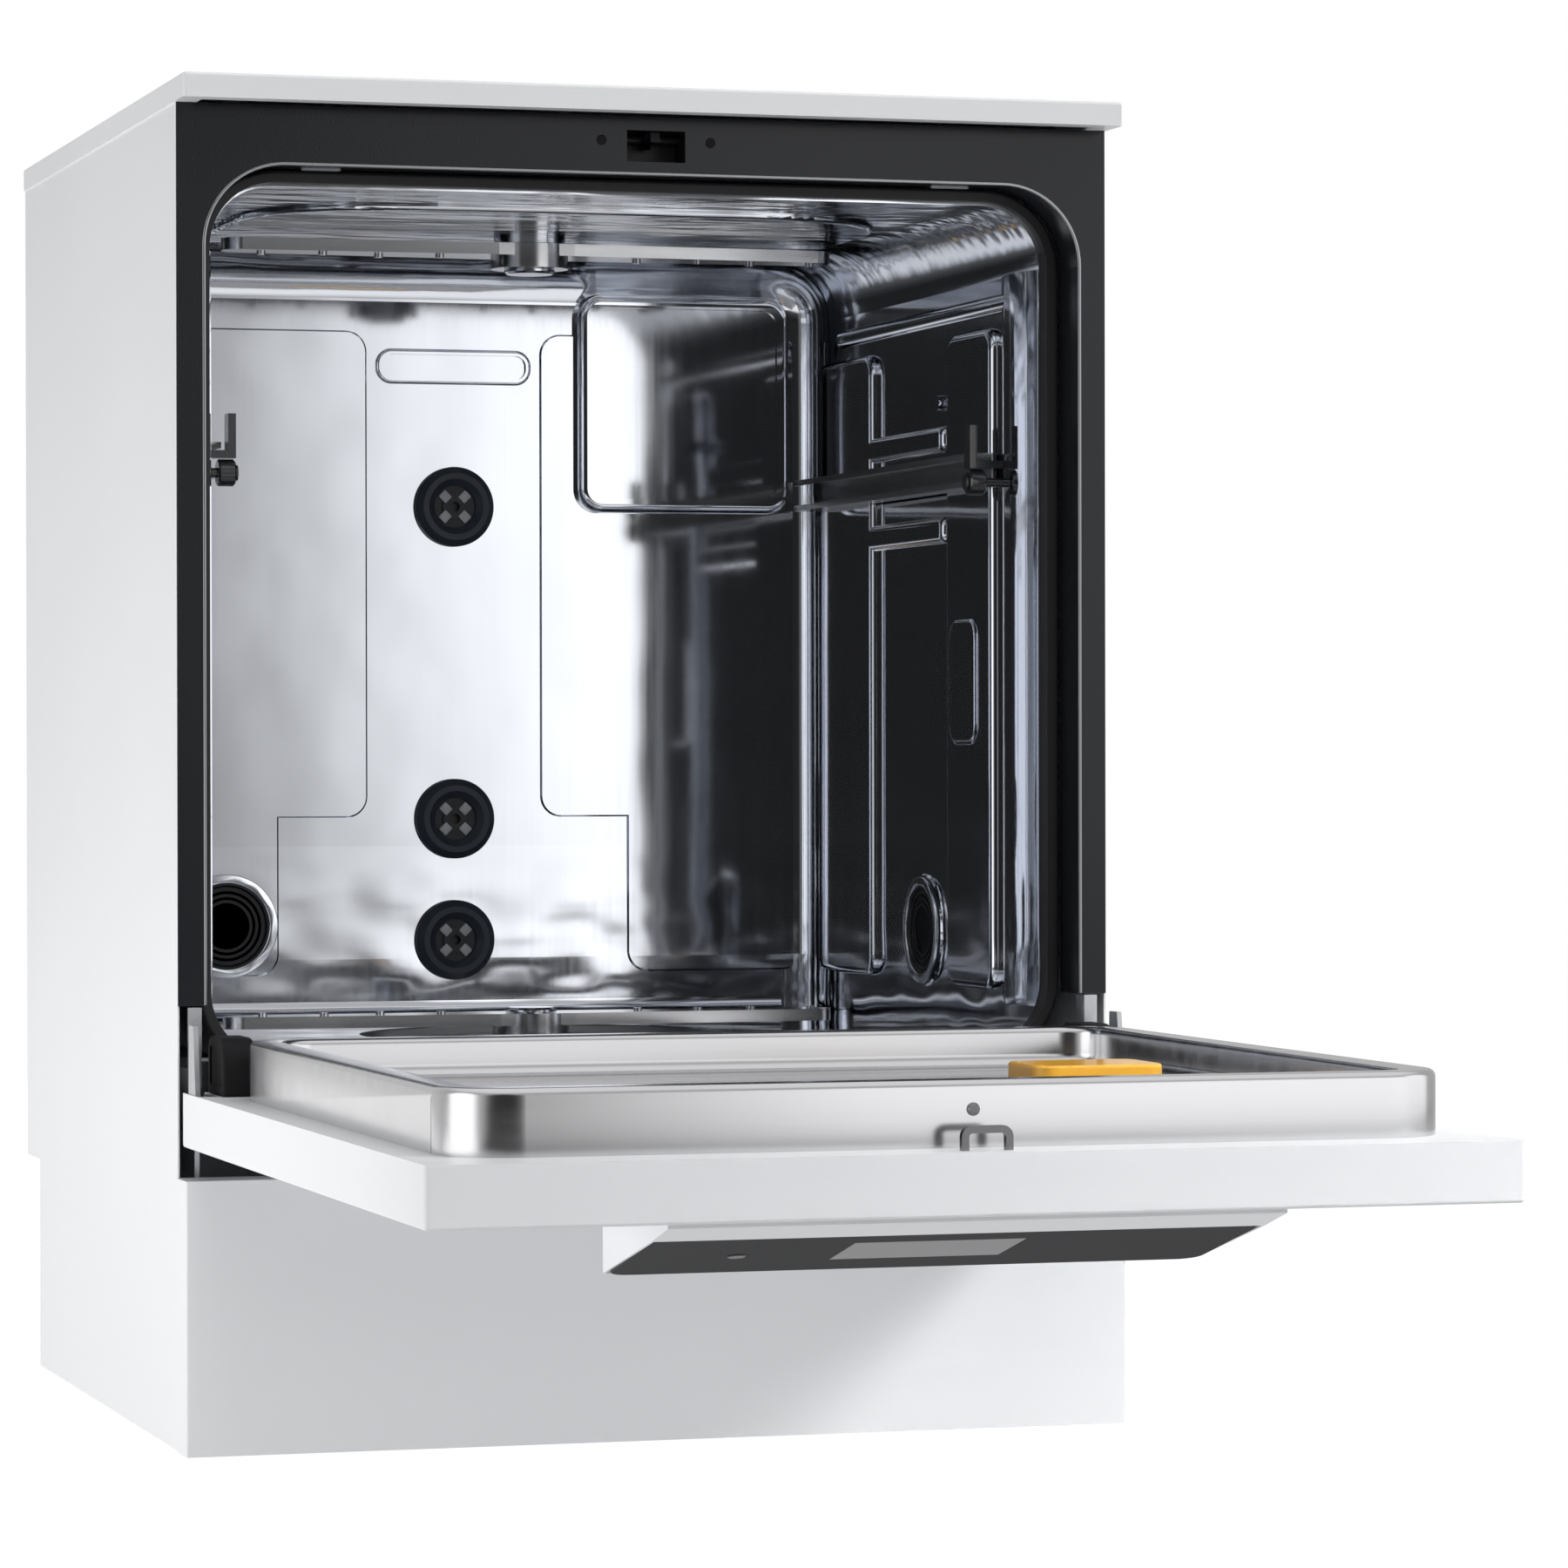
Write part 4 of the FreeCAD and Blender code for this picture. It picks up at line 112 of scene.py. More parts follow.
def colour_prop(name, description, default):
    return FloatVectorProperty(
        name=name, description=description, default=default, size=3, subtype="COLOR", min=0.0, max=1.0
    )


def length_prop(name, description, default):
    return FloatProperty(
        name=name, description=description, default=default, subtype="DISTANCE", unit="LENGTH"
    )


class DishwasherFinishes(PropertyGroup):
    """Colours of the finishes."""

    paint: colour_prop("Paint", "White powder paint of the cabinet and the door", (0.80, 0.81, 0.83))
    frame_paint: colour_prop("Frame paint", "Dark paint of the front frame", (0.007, 0.008, 0.0105))
    tub: colour_prop("Tub steel", "Polished steel of the wash tub", (0.70, 0.72, 0.765))
    liner: colour_prop("Liner steel", "Brushed steel of the door liner", (0.58, 0.58, 0.59))
    zinc: colour_prop("Zinc", "Galvanised steel of the hidden sheets", (0.55, 0.56, 0.58))
    rubber: colour_prop("Rubber", "Gasket rubber", (0.012, 0.012, 0.013))
    dark_zinc: colour_prop("Dark zinc", "Blackened latch hook", (0.05, 0.05, 0.055))
    wire: colour_prop("Wire", "Steel wire of the striker and the liner screw", (0.20, 0.20, 0.21))
    pale: colour_prop("Pale plastic", "Pale clips and coupling lugs", (0.34, 0.35, 0.37))
    black: colour_prop("Black plastic", "Moulded black fittings", (0.018, 0.019, 0.021))
    collar: colour_prop("Collar plastic", "Collars of the water couplings", (0.024, 0.030, 0.042))
    grey: colour_prop("Grey plastic", "Moulded grey fittings", (0.33, 0.34, 0.35))
    lid: colour_prop("Lid", "Dispenser lid", (0.93, 0.47, 0.03))
    glass: colour_prop("Glass", "Dark control glass", (0.100, 0.101, 0.104))
    display: colour_prop("Display", "Unlit display", (0.46, 0.46, 0.465))


class DishwasherSizes(PropertyGroup):
    """Sizes of the fine pieces."""

    cove: length_prop("Tub cove", "Radius of the bend at the back of the tub", 0.028)
    foot_cove: length_prop("Foot cove", "Radius of the bend between the tub's back and floor", 0.011)
    liner_edge: length_prop("Liner edge", "Radius of the liner's rim edges", 0.004)
    tray_cove: length_prop("Tray cove", "Radius at the bottom of the liner's tray", 0.008)
    cover_edge: length_prop("Cover edge", "Edge radius of the hinge covers", 0.004)
    glass_corner: length_prop("Glass corner", "Radius of the control glass's corners", 0.012)
    lug: length_prop("Lug", "Width of the coupling lugs", 0.007)
    vent_trim: length_prop("Vent trim", "Width of the steel rings round the vents", 0.0062)
    clip: length_prop("Clip", "Length of the clips in the frame", 0.025)
    swage: length_prop("Swage", "Radius of the upright swages at the front of the tub", 0.096)
    bead: length_prop("Bead", "Radius of the rolled edge round the frame's opening", 0.0011)


class Wire:
    """One shader value; arithmetic on it adds Math nodes."""

    def __init__(self, graph, socket):
        self.graph = graph
        self.socket = socket

    def maths(self, operation, first, second):
        return self.graph.add("ShaderNodeMath", {"operation": operation}, {0: first, 1: second})

    def __add__(self, other):
        return self.maths("ADD", self, other)

    __radd__ = __add__

    def __sub__(self, other):
        return self.maths("SUBTRACT", self, other)

    def __rsub__(self, other):
        return self.maths("SUBTRACT", other, self)

    def __mul__(self, other):
        return self.maths("MULTIPLY", self, other)

    __rmul__ = __mul__

    def __lt__(self, other):
        return self.maths("LESS_THAN", self, other)


class Graph:
    """A node tree that is filled node by node."""

    def __init__(self, tree):
        self.tree = tree
        tree.nodes.clear()

    def add(self, kind, settings=None, inputs=None, output=0):
        made = self.tree.nodes.new(kind)
        for key, value in (settings or {}).items():
            setattr(made, key, value)
        for key, value in (inputs or {}).items():
            socket = made.inputs[key]
            if isinstance(value, Wire):
                self.tree.links.new(value.socket, socket)
            else:
                socket.default_value = value
        return Wire(self, made.outputs[output]) if made.outputs else made

    def mix(self, factor, first, second):
        """Blend of two colours."""
        return self.add("ShaderNodeMix", {"data_type": "RGBA"}, {0: factor, 6: first, 7: second}, 2)

    def shades(self, factor, colour, dark, light):
        """Blend of a darker and a lighter shade of one colour."""
        return self.mix(factor, tint(colour, dark), tint(colour, light))

    def place(self, scale=(1, 1, 1)):
        """The piece's own coordinates, stretched."""
        where = self.add("ShaderNodeTexCoord", output="Object")
        return self.add("ShaderNodeMapping", None, {"Vector": where, "Scale": scale})

    def noise(self, scale, stretch=(1, 1, 1), detail=2.0):
        inputs = {"Vector": self.place(stretch), "Scale": scale, "Detail": detail}
        return self.add("ShaderNodeTexNoise", None, inputs)

    def ramp(self, value, start, end, kind="LINEAR"):
        """Rise from 0 to 1 between two values."""
        inputs = {"Value": value, "From Min": start, "From Max": end}
        return self.add("ShaderNodeMapRange", {"interpolation_type": kind}, inputs)

    def bump(self, strength, distance, height):
        """Normal of a surface raised by a height."""
        inputs = {"Strength": strength, "Distance": distance, "Height": height}
        return self.add("ShaderNodeBump", None, inputs)


def tint(colour, factor):
    return tuple(min(1.0, part * factor) for part in colour[:3]) + (1.0,)


def neutral(bright):
    return (bright, bright, bright, 1)


def surface(name, build):
    """Material from a function that gives the Principled sockets for a graph."""
    material = bpy.data.materials.new(name)
    material.use_nodes = True
    graph = Graph(material.node_tree)
    shader = graph.add("ShaderNodeBsdfPrincipled", None, build(graph))
    graph.add("ShaderNodeOutputMaterial", None, {"Surface": shader})
    return material


def painted(name, colour, rough, spread=0.03, peel=0.06, gloss=0.5):
    """Powder paint: faint clouding, orange peel and slightly uneven gloss."""

    def build(graph):
        cloud = graph.noise(5.0, detail=3.0)
        skin = graph.noise(700.0, detail=1.0)
        return {
            "Base Color": graph.shades(cloud, colour, 1.0 - spread, 1.0 + spread),
            "Roughness": rough + 0.10 * (cloud - 0.5),
            "Specular IOR Level": gloss,
            "Normal": graph.bump(peel, 0.0004, skin),
        }

    return surface(name, build)


def polished(name, colour, rough, wave=0.10, ripple=0.0):
    """Drawn stainless sheet: slow waves, fine rolling marks and, where asked for, ripples near the bends."""
    foot_band, head_band = (0.36, 0.28), (0.745, 0.768)
    head_gain, head_blur = 3.5, 0.12

    def build(graph):
        slow = graph.noise(9.0, detail=1.5)
        rolled = graph.noise(260.0, (1.0, 1.0, 0.03), 2.0)
        height, uneven = slow, 0.06 * (slow - 0.5)
        if ripple:
            up = graph.add("ShaderNodeSeparateXYZ", None, {0: graph.place()}, "Z")
            foot = graph.ramp(up, *foot_band)
            head = graph.ramp(up, *head_band)
            folds = graph.noise(15.0, (0.8, 0.8, 1.6), 1.0)
            streaks = graph.noise(20.0, (0.5, 1.3, 1.0), 2.0)
            height = slow + ripple * foot * folds + head_gain * ripple * head * streaks
            uneven = uneven + head_blur * head * streaks
        return {
            "Base Color": graph.shades(slow, colour, 0.96, 1.04),
            "Metallic": 1.0,
            "Roughness": rough + 0.05 * (rolled - 0.5) + uneven,
            "Normal": graph.bump(wave, 0.006, height),
        }

    return surface(name, build)


def brushed(name, colour, rough, stretch):
    """Brushed steel with its grain along one axis."""

    def build(graph):
        lines = graph.noise(60.0, stretch, 4.0)
        cloud = graph.noise(6.0, detail=2.0)
        return {
            "Base Color": graph.shades(lines, colour, 0.90, 1.08),
            "Metallic": 1.0,
            "Roughness": rough + 0.16 * (lines - 0.5) + 0.06 * (cloud - 0.5),
            "Normal": graph.bump(0.10, 0.0003, lines),
        }

    return surface(name, build)


def zinc_coated(name, colour):
    """Galvanised sheet with its crystal flowers."""

    def build(graph):
        cells = {"Vector": graph.place(), "Scale": 90.0}
        flowers = graph.add("ShaderNodeTexVoronoi", None, cells, "Color")
        shade = graph.add("ShaderNodeRGBToBW", None, {"Color": flowers})
        return {
            "Base Color": graph.shades(shade, colour, 0.86, 1.10),
            "Metallic": 1.0,
            "Roughness": 0.34 + 0.16 * shade,
        }

    return surface(name, build)


def moulded(name, colour, rough, grain=1500.0, bump=0.10, coat=0.0, gloss=0.5):
    """Moulded plastic or rubber: fine eroded grain and faint clouding."""

    def build(graph):
        cloud = graph.noise(20.0, detail=2.0)
        skin = graph.noise(grain, detail=1.0)
        return {
            "Base Color": graph.shades(cloud, colour, 0.93, 1.07),
            "Roughness": rough + 0.10 * (cloud - 0.5) + 0.06 * (skin - 0.5),
            "Coat Weight": coat,
            "Specular IOR Level": gloss,
            "Normal": graph.bump(bump, 0.0003, skin),
        }

    return surface(name, build)


def glazed(name, colour, rough):
    """Back-painted glass: dark, smooth, with a faint cloud in the gloss."""

    def build(graph):
        cloud = graph.noise(12.0, detail=2.0)
        return {
            "Base Color": graph.shades(cloud, colour, 0.95, 1.05),
            "Roughness": rough + 0.05 * (cloud - 0.5),
            "Specular IOR Level": 0.0,
        }

    return surface(name, build)


def perforated(name, colour):
    """Filter sheet with rows of fine holes drawn as dark dots of painted shade."""
    hole_size, hole_shade_colour = 0.28, (0.01, 0.01, 0.01, 1.0)

    def build(graph):
        cells = {"Vector": graph.place(), "Scale": 330.0, "Randomness": 0.0}
        hole = graph.add("ShaderNodeTexVoronoi", None, cells) < hole_size
        return {
            # Painted shade where the holes are
            "Base Color": graph.mix(hole, tint(colour, 1.0), hole_shade_colour),
            "Metallic": 1.0 - hole,
            "Roughness": 0.3 + 0.4 * hole,
        }

    return surface(name, build)


def deselect():
    """Object mode with nothing selected."""
    if bpy.context.object and bpy.context.object.mode != "OBJECT":
        bpy.ops.object.mode_set(mode="OBJECT")
    bpy.ops.object.select_all(action="DESELECT")


def focus(piece):
    """Object mode with one piece selected and active."""
    deselect()
    bpy.context.view_layer.objects.active = piece
    piece.select_set(True)


def rename(name):
    """Name the active object and its mesh."""
    piece = bpy.context.object
    piece.name = name
    piece.data.name = name
    return piece


def apply_place():
    """Put the place of the selected piece into its mesh."""
    bpy.ops.object.transform_apply(location=True, rotation=True, scale=True)


def settle(name):
    """Name the new primitive and put its place into its mesh."""
    piece = rename(name)
    apply_place()
    return piece


def midpoint(low, high):
    return [(a + b) / 2 for a, b in zip(low, high)]


def block(name, low, high):
    """Box between two corners."""
    deselect()
    sides = [b - a for a, b in zip(low, high)]
    bpy.ops.mesh.primitive_cube_add(size=1, location=midpoint(low, high), scale=sides)
    return settle(name)


def drum(name, centre, radius, depth, turn=(0, 0, 0), sides=48):
    """Cylinder about a centre."""
    deselect()
    bpy.ops.mesh.primitive_cylinder_add(
        vertices=sides, radius=radius, depth=depth, location=centre, rotation=turn
    )
    return settle(name)


def pick(piece, kind, test):
    """Edit mode with the vertices, edges or faces that a test accepts."""
    bpy.context.view_layer.objects.active = piece
    piece.select_set(True)
    bpy.ops.object.mode_set(mode="EDIT")
    bpy.ops.mesh.select_mode(type=kind)
    bpy.ops.mesh.select_all(action="DESELECT")
    mesh = bmesh.from_edit_mesh(piece.data)
    items = {"VERT": mesh.verts, "EDGE": mesh.edges, "FACE": mesh.faces}[kind]
    found = [item for item in items if test(item)]
    for item in found:
        item.select_set(True)
    mesh.select_flush_mode()
    bmesh.update_edit_mesh(piece.data)
    if not found:
        raise RuntimeError(f"nothing to pick on {piece.name}")


def along(axis):
    """Test for edges along an axis."""
    return lambda edge: abs((edge.verts[0].co - edge.verts[1].co).normalized()[axis]) > ALONG_AXIS


def facing(axis, sign):
    """Test for faces whose normal is along an axis."""
    return lambda face: face.normal[axis] * sign > ALONG_AXIS


def creased(edge, angle=0.5):
    """Test for edges between two faces that meet at more than an angle."""
    return edge.is_manifold and edge.calc_face_angle() > angle


def level(axis, value):
    """Test for edges that lie in a plane across an axis."""
    return lambda edge: all(abs(vert.co[axis] - value) < TOUCH for vert in edge.verts)


def both(first, second):
    """Test that holds where two tests do."""
    return lambda item: first(item) and second(item)


def anything(item):
    return True


def bevel(width, steps):
    bpy.ops.mesh.bevel(offset=width, segments=steps, affect="EDGES", clamp_overlap=True)


def extrude(x, y, z):
    bpy.ops.mesh.extrude_region_move(TRANSFORM_OT_translate={"value": (x, y, z)})


def cut_off(place, normal):
    """Remove what is selected beyond a plane."""
    bpy.ops.mesh.bisect(plane_co=place, plane_no=normal, clear_outer=True, use_fill=False)


def modify(piece, kind, **settings):
    """Add a modifier and apply it."""
    focus(piece)
    made = piece.modifiers.new(kind.lower(), kind)
    for key, value in settings.items():
        setattr(made, key, value)
    bpy.ops.object.modifier_apply(modifier=made.name)


def carve(piece, *cutters):
    """Cut other pieces out of a piece and remove them."""
    for cutter in cutters:
        modify(piece, "BOOLEAN", operation="DIFFERENCE", object=cutter, solver="EXACT")
        bpy.data.objects.remove(cutter)


def flip(piece, name):
    """Mirrored copy across the machine's middle."""
    focus(piece)
    bpy.ops.object.duplicate(linked=False)
    made = rename(name)
    made.scale.x = -1
    apply_place()
    bpy.ops.object.mode_set(mode="EDIT")
    bpy.ops.mesh.select_all(action="SELECT")
    bpy.ops.mesh.normals_make_consistent(inside=False)
    bpy.ops.object.mode_set(mode="OBJECT")
    return made


def pad(name, low, high, axis, sign, corner, edge):
    """Plate with round corners and a soft edge round the face that points along an axis."""
    piece = block(name, low, high)
    pick(piece, "EDGE", along(axis))
    bevel(corner, 6)
    front = (high if sign > 0 else low)[axis]
    pick(piece, "EDGE", level(axis, front))
    bevel(edge, 4)
    return piece


def ring(name, centre, outer, inner, depth, turn, edge):
    """Flat ring with soft edges."""
    piece = drum(name, centre, outer, depth, turn, ROUND_SIDES)
    carve(piece, drum("ring_hole", centre, inner, 3 * depth, turn, ROUND_SIDES))
    pick(piece, "EDGE", creased)
    bevel(edge, 3)
    return piece


def unite(name, *pieces):
    """Join pieces into one object."""
    deselect()
    for piece in pieces:
        piece.select_set(True)
    bpy.context.view_layer.objects.active = pieces[0]
    bpy.ops.object.join()
    return rename(name)


def deliver(piece, body, finish, stands_for=(), angle=40):
    """Smooth, paint and hang a finished piece on its body."""
    focus(piece)
    bpy.ops.object.shade_smooth_by_angle(angle=math.radians(angle))
    piece.data.materials.clear()
    piece.data.materials.append(FINISHES[finish])
    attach(piece, body)
    if stands_for:
        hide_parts(*stands_for)
    return piece


class DISHWASHER_OT_finishes(Operator):
    """Give every carried-over sub-part its material"""

    bl_idname = "dishwasher.finishes"
    bl_label = "Finishes"

    def execute(self, context):
        look = context.scene.dishwasher_finishes
        across, lengthwise = (0.02, 1.0, 1.0), (1.0, 0.02, 1.0)
        FINISHES.update(
            paint=painted("white_powder_paint", look.paint, 0.38),
            frame_paint=painted(
                "dark_frame_paint", look.frame_paint, 0.20, spread=0.08, peel=0.08, gloss=0.30
            ),
            tub=polished("polished_tub_steel", look.tub, 0.075, wave=0.06, ripple=4.0),
            bright=polished("bright_fittings", look.tub, 0.16, wave=0.03),
            liner=brushed("brushed_liner_steel", look.liner, 0.20, across),
            rail=brushed("brushed_rail_steel", look.liner, 0.26, lengthwise),
            zinc=zinc_coated("galvanised_sheet", look.zinc),
            rubber=moulded("gasket_rubber", look.rubber, 0.50, grain=900.0, bump=0.15),
            black=moulded("black_moulding", look.black, 0.42, gloss=0.35),
            cap=moulded("black_caps", look.rubber, 0.60, grain=900.0, gloss=0.08),
            collar=moulded("collar_moulding", look.collar, 0.40, bump=0.05, gloss=0.35),
            wire=polished("steel_wire", look.wire, 0.25, wave=0.02),
            # Grey steel on the frame's rolled edge, lighter than the frame paint: a painted highlight along
            # the edge, with real reflections on top
            bead=polished("frame_edge_painted_highlight", look.grey, 0.30, wave=0.02),
            gloss=moulded("glossy_black_moulding", look.black, 0.20, bump=0.05, coat=0.5),
            grey=moulded("grey_moulding", look.grey, 0.42),
            pale=moulded("pale_moulding", look.pale, 0.38),
            dark_zinc=zinc_coated("blackened_screws", look.dark_zinc),
            white=moulded("white_moulding", look.paint, 0.40, bump=0.05),
            lid=moulded("orange_lid", look.lid, 0.30, grain=1200.0, bump=0.04, coat=0.4),
            glass=glazed("dark_glass", look.glass, 0.12),
            display=glazed("display_glass", look.display, 0.18),
            filter=perforated("filter_sheet", look.liner),
        )
        groups = {
            "paint": "side_panel_left side_panel_right worktop plinth door_panel",
            "frame_paint": "front_frame",
            "tub": "chamber_wrap chamber_back chamber_floor",
            "bright": "upper_arm_feed lower_arm_post heating_element",
            "liner": "door_liner lower_spray_arm upper_spray_arm",
            "rail": "rail_left rail_right",
            "zinc": "base_frame rear_panel hinge_bracket_left hinge_bracket_right "
                    "hinge_arm_left hinge_arm_right circulation_pump",
            "dark_zinc": "latch_hook",
            "wire": "striker door_screws",
            "cap": "cabinet_screws",
            "rubber": "door_gasket foot_front_left foot_front_right foot_rear_left foot_rear_right",
            "black": "valve_upper valve_middle valve_lower vent_back vent_side hinge_cover_left "
                     "hinge_cover_right lock_housing cable_gland power_button",
            "gloss": "catch_left catch_right roller_left roller_right",
            "collar": "coupling_upper coupling_middle coupling_lower",
            "grey": "sump fine_filter riser_manifold dispenser_body",
            "white": "control_housing inlet_valves",
            "lid": "dispenser_lid",
            "glass": "control_glass",
            "display": "display_panel",
            "filter": "flat_filter",
        }
        for finish, names in groups.items():
            for name in names.split():
                node = NODES[name]
                node.data.materials.clear()
                node.data.materials.append(FINISHES[finish])
        return {"FINISHED"}


class DISHWASHER_OT_liner(Operator):
    """Press the door liner with its rim, its tray and the dispenser hole"""

    bl_idname = "dishwasher.liner"
    bl_label = "Door liner"

    def execute(self, context):
        sizes = context.scene.dishwasher_sizes
        corner, rim, tray, sheet = 0.040, 0.020, 0.024, 0.001
        hole_margin, hole_corner = 0.0057, 0.009
        seam_place, seam_end, groove = 0.0405, 0.006, 0.0005
        low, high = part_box("door_liner")
        piece = block("liner", low, high)
        pick(piece, "EDGE", along(2))
        bevel(corner, 12)
        pick(piece, "FACE", facing(2, 1))
        bpy.ops.mesh.inset(thickness=rim)
        extrude(0, 0, -tray)
        for height, width, steps in ((high[2], sizes.liner_edge, 4), (high[2] - tray, sizes.tray_cove, 6)):
            pick(piece, "EDGE", both(level(2, height), creased))
            bevel(width, steps)
        pick(piece, "FACE", facing(2, -1))
        bpy.ops.mesh.delete(type="FACE")
        modify(piece, "SOLIDIFY", thickness=sheet, offset=-1.0)
        near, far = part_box("dispenser_body")
        hole = block("liner_hole", (near[0] + hole_margin, near[1] + hole_margin, near[2]),
                     (far[0] - hole_margin, far[1] - hole_margin, far[2]))
        pick(hole, "EDGE", along(2))
        bevel(hole_corner, 5)
        carve(piece, hole)
        seam = low[1] + seam_place
        for side in (low[0], high[0]):
            carve(piece, block("liner_seam", (side - groove, seam - groove, low[2] - groove),
                               (side + groove, seam + groove, high[2] - seam_end)))
        deliver(piece, "door", "liner", ["door_liner"])
        return {"FINISHED"}


class DISHWASHER_OT_hinge_covers(Operator):
    """Mould the two black covers over the door hinges"""

    bl_idname = "dishwasher.hinge_covers"
    bl_label = "Hinge covers"

    def execute(self, context):
        edge = context.scene.dishwasher_sizes.cover_edge
        rear_slope, front_slope = 0.007, 0.014
        field_margin, field_depth = 0.004, 0.0012
        sharp = 1.2
        low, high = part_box("hinge_cover_left")
        piece = block("hinge_cap_left", low, high)
        upper = level(2, high[2])
        for depth, width, steps in ((high[1], rear_slope, 2), (low[1], front_slope, 4)):
            pick(piece, "EDGE", both(level(1, depth), upper))
            bevel(width, steps)
        pick(piece, "EDGE", lambda item: creased(item, sharp))
        bevel(edge / 2, 3)
        pick(piece, "FACE", facing(0, -1))
        bpy.ops.mesh.inset(thickness=field_margin)
        extrude(field_depth, 0, 0)
        other = flip(piece, "hinge_cap_right")
        deliver(piece, "door", "cap", ["hinge_cover_left"])
        deliver(other, "door", "cap", ["hinge_cover_right"])
        return {"FINISHED"}


class DISHWASHER_OT_tub_bends(Operator):
    """Roll the bends where the tub's back meets its walls, ceiling and floor"""

    bl_idname = "dishwasher.tub_bends"
    bl_label = "Tub bends"

    def execute(self, context):
        sizes = context.scene.dishwasher_sizes
        radius, small = sizes.cove, sizes.foot_cove
        ceiling_corner, ceiling_gap = 0.040, 0.001
        wall, back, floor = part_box("chamber_floor")[1]
        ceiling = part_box("chamber_back")[1][2] - ceiling_gap
        rear = level(1, back)
        bends = block("tub_bends", (-wall, back - 4 * radius, floor - 2 * radius), (wall, back, ceiling))
        pick(bends, "EDGE", both(level(2, ceiling), along(1)))
        bevel(ceiling_corner, 12)
        pick(bends, "EDGE", rear)
        bevel(radius, 8)
        start = back - radius + TOUCH
        pick(bends, "FACE", lambda face: face.calc_center_median().y < start or face.normal.y > FLAT)
        bpy.ops.mesh.delete(type="FACE")
        bpy.ops.mesh.select_all(action="SELECT")
        cut_off((0, 0, floor), (0, 0, -1))
        foot = block("tub_foot", (radius - wall, back - 2 * small, floor),
                     (wall - radius, back, floor + 2 * small))
        pick(foot, "EDGE", both(rear, level(2, floor)))
        bevel(small, 6)
        pick(foot, "FACE", lambda face: max(abs(part) for part in face.normal) > FLAT)
        bpy.ops.mesh.delete(type="FACE")
        piece = unite("tub_bends", bends, foot)
        pick(piece, "FACE", anything)
        bpy.ops.mesh.flip_normals()
        modify(piece, "SOLIDIFY", thickness=FOIL, offset=-1.0)
        deliver(piece, "cabinet", "tub", angle=SHEET_ANGLE)
        return {"FINISHED"}


class DISHWASHER_OT_tub_swages(Operator):
    """Press the upright swages into the tub's walls behind the front frame"""

    bl_idname = "dishwasher.tub_swages"
    bl_label = "Tub swages"

    def execute(self, context):
        radius = context.scene.dishwasher_sizes.swage
        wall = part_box("chamber_floor")[1][0]
        reach, front, foot, head = 0.0070, -0.187, 0.262, 0.735
        wall_gap, end_limit = 0.0002, 0.9
        centre = (wall - reach + radius, front, (foot + head) / 2)
        piece = drum("tub_swage_right", centre, radius, head - foot, sides=192)
        pick(piece, "FACE", anything)
        cut_off((wall - wall_gap, 0, 0), (1, 0, 0))
        pick(piece, "FACE", lambda face: abs(face.normal.z) > end_limit)
        bpy.ops.mesh.delete(type="FACE")
        modify(piece, "SOLIDIFY", thickness=FOIL, offset=-1.0)
        other = flip(piece, "tub_swage_left")
        deliver(piece, "cabinet", "tub", angle=SHEET_ANGLE)
        deliver(other, "cabinet", "tub", angle=SHEET_ANGLE)
        return {"FINISHED"}


class DISHWASHER_OT_coupling_lugs(Operator):
    """Set four lugs on the valve of each water coupling"""

    bl_idname = "dishwasher.coupling_lugs"
    bl_label = "Coupling lugs"

    def execute(self, context):
        half = context.scene.dishwasher_sizes.lug / 2
        inner, outer, proud, sunk, edge = 0.0062, 0.0138, 0.0004, 0.0022, 0.001
        for name in ("upper", "middle", "lower"):
            low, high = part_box(f"valve_{name}")
            front, height = low[1], (low[2] + high[2]) / 2
            lugs = []
            for turn in range(4):
                lug = block(f"lug_{name}_{turn}", (-half, front - proud, height + inner),
                            (half, front + sunk, height + outer))
                pick(lug, "EDGE", creased)
                bevel(edge, 2)
                bpy.ops.mesh.select_all(action="SELECT")
                angle = math.radians(45 + 90 * turn)
                bpy.ops.transform.rotate(value=angle, orient_axis="Y", center_override=(0, front, height))
                lugs.append(lug)
            deliver(unite(f"coupling_lugs_{name}", *lugs), f"valve_{name}", "pale")
        return {"FINISHED"}


class DISHWASHER_OT_vents(Operator):
    """Trim the two vents with steel rings and ribbed grilles"""

    bl_idname = "dishwasher.vents"
    bl_label = "Vents"

    def execute(self, context):
        trim = context.scene.dishwasher_sizes.vent_trim
        ring_radius, ring_place, ring_edge = 0.0364, 0.0004, 0.0008
        grille_radius, grille_place, thick = 0.0268, 0.0026, 0.0022
        ribs, rib_width, rib_depth = 5, 0.0021, 0.0010
        for name, axis, turn in (("back", 1, (QUARTER_TURN, 0, 0)), ("side", 0, (0, QUARTER_TURN, 0))):
            low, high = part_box(f"vent_{name}")
            centre = midpoint(low, high)
            centre[axis] = low[axis] + ring_place
            made = ring(f"vent_trim_{name}", centre, ring_radius, ring_radius - trim, thick, turn, ring_edge)
            deliver(made, "cabinet", "bright")
            centre[axis] = low[axis] + grille_place
            grille = drum(f"vent_grille_{name}", centre, grille_radius, thick, turn, ROUND_SIDES)
            pick(grille, "FACE", facing(axis, -1))
            for step in range(ribs):
                bpy.ops.mesh.inset(thickness=rib_width)
                push = [0, 0, 0]
                push[axis] = rib_depth if step % 2 == 0 else -rib_depth
                extrude(*push)
            deliver(grille, "cabinet", "black")
        return {"FINISHED"}


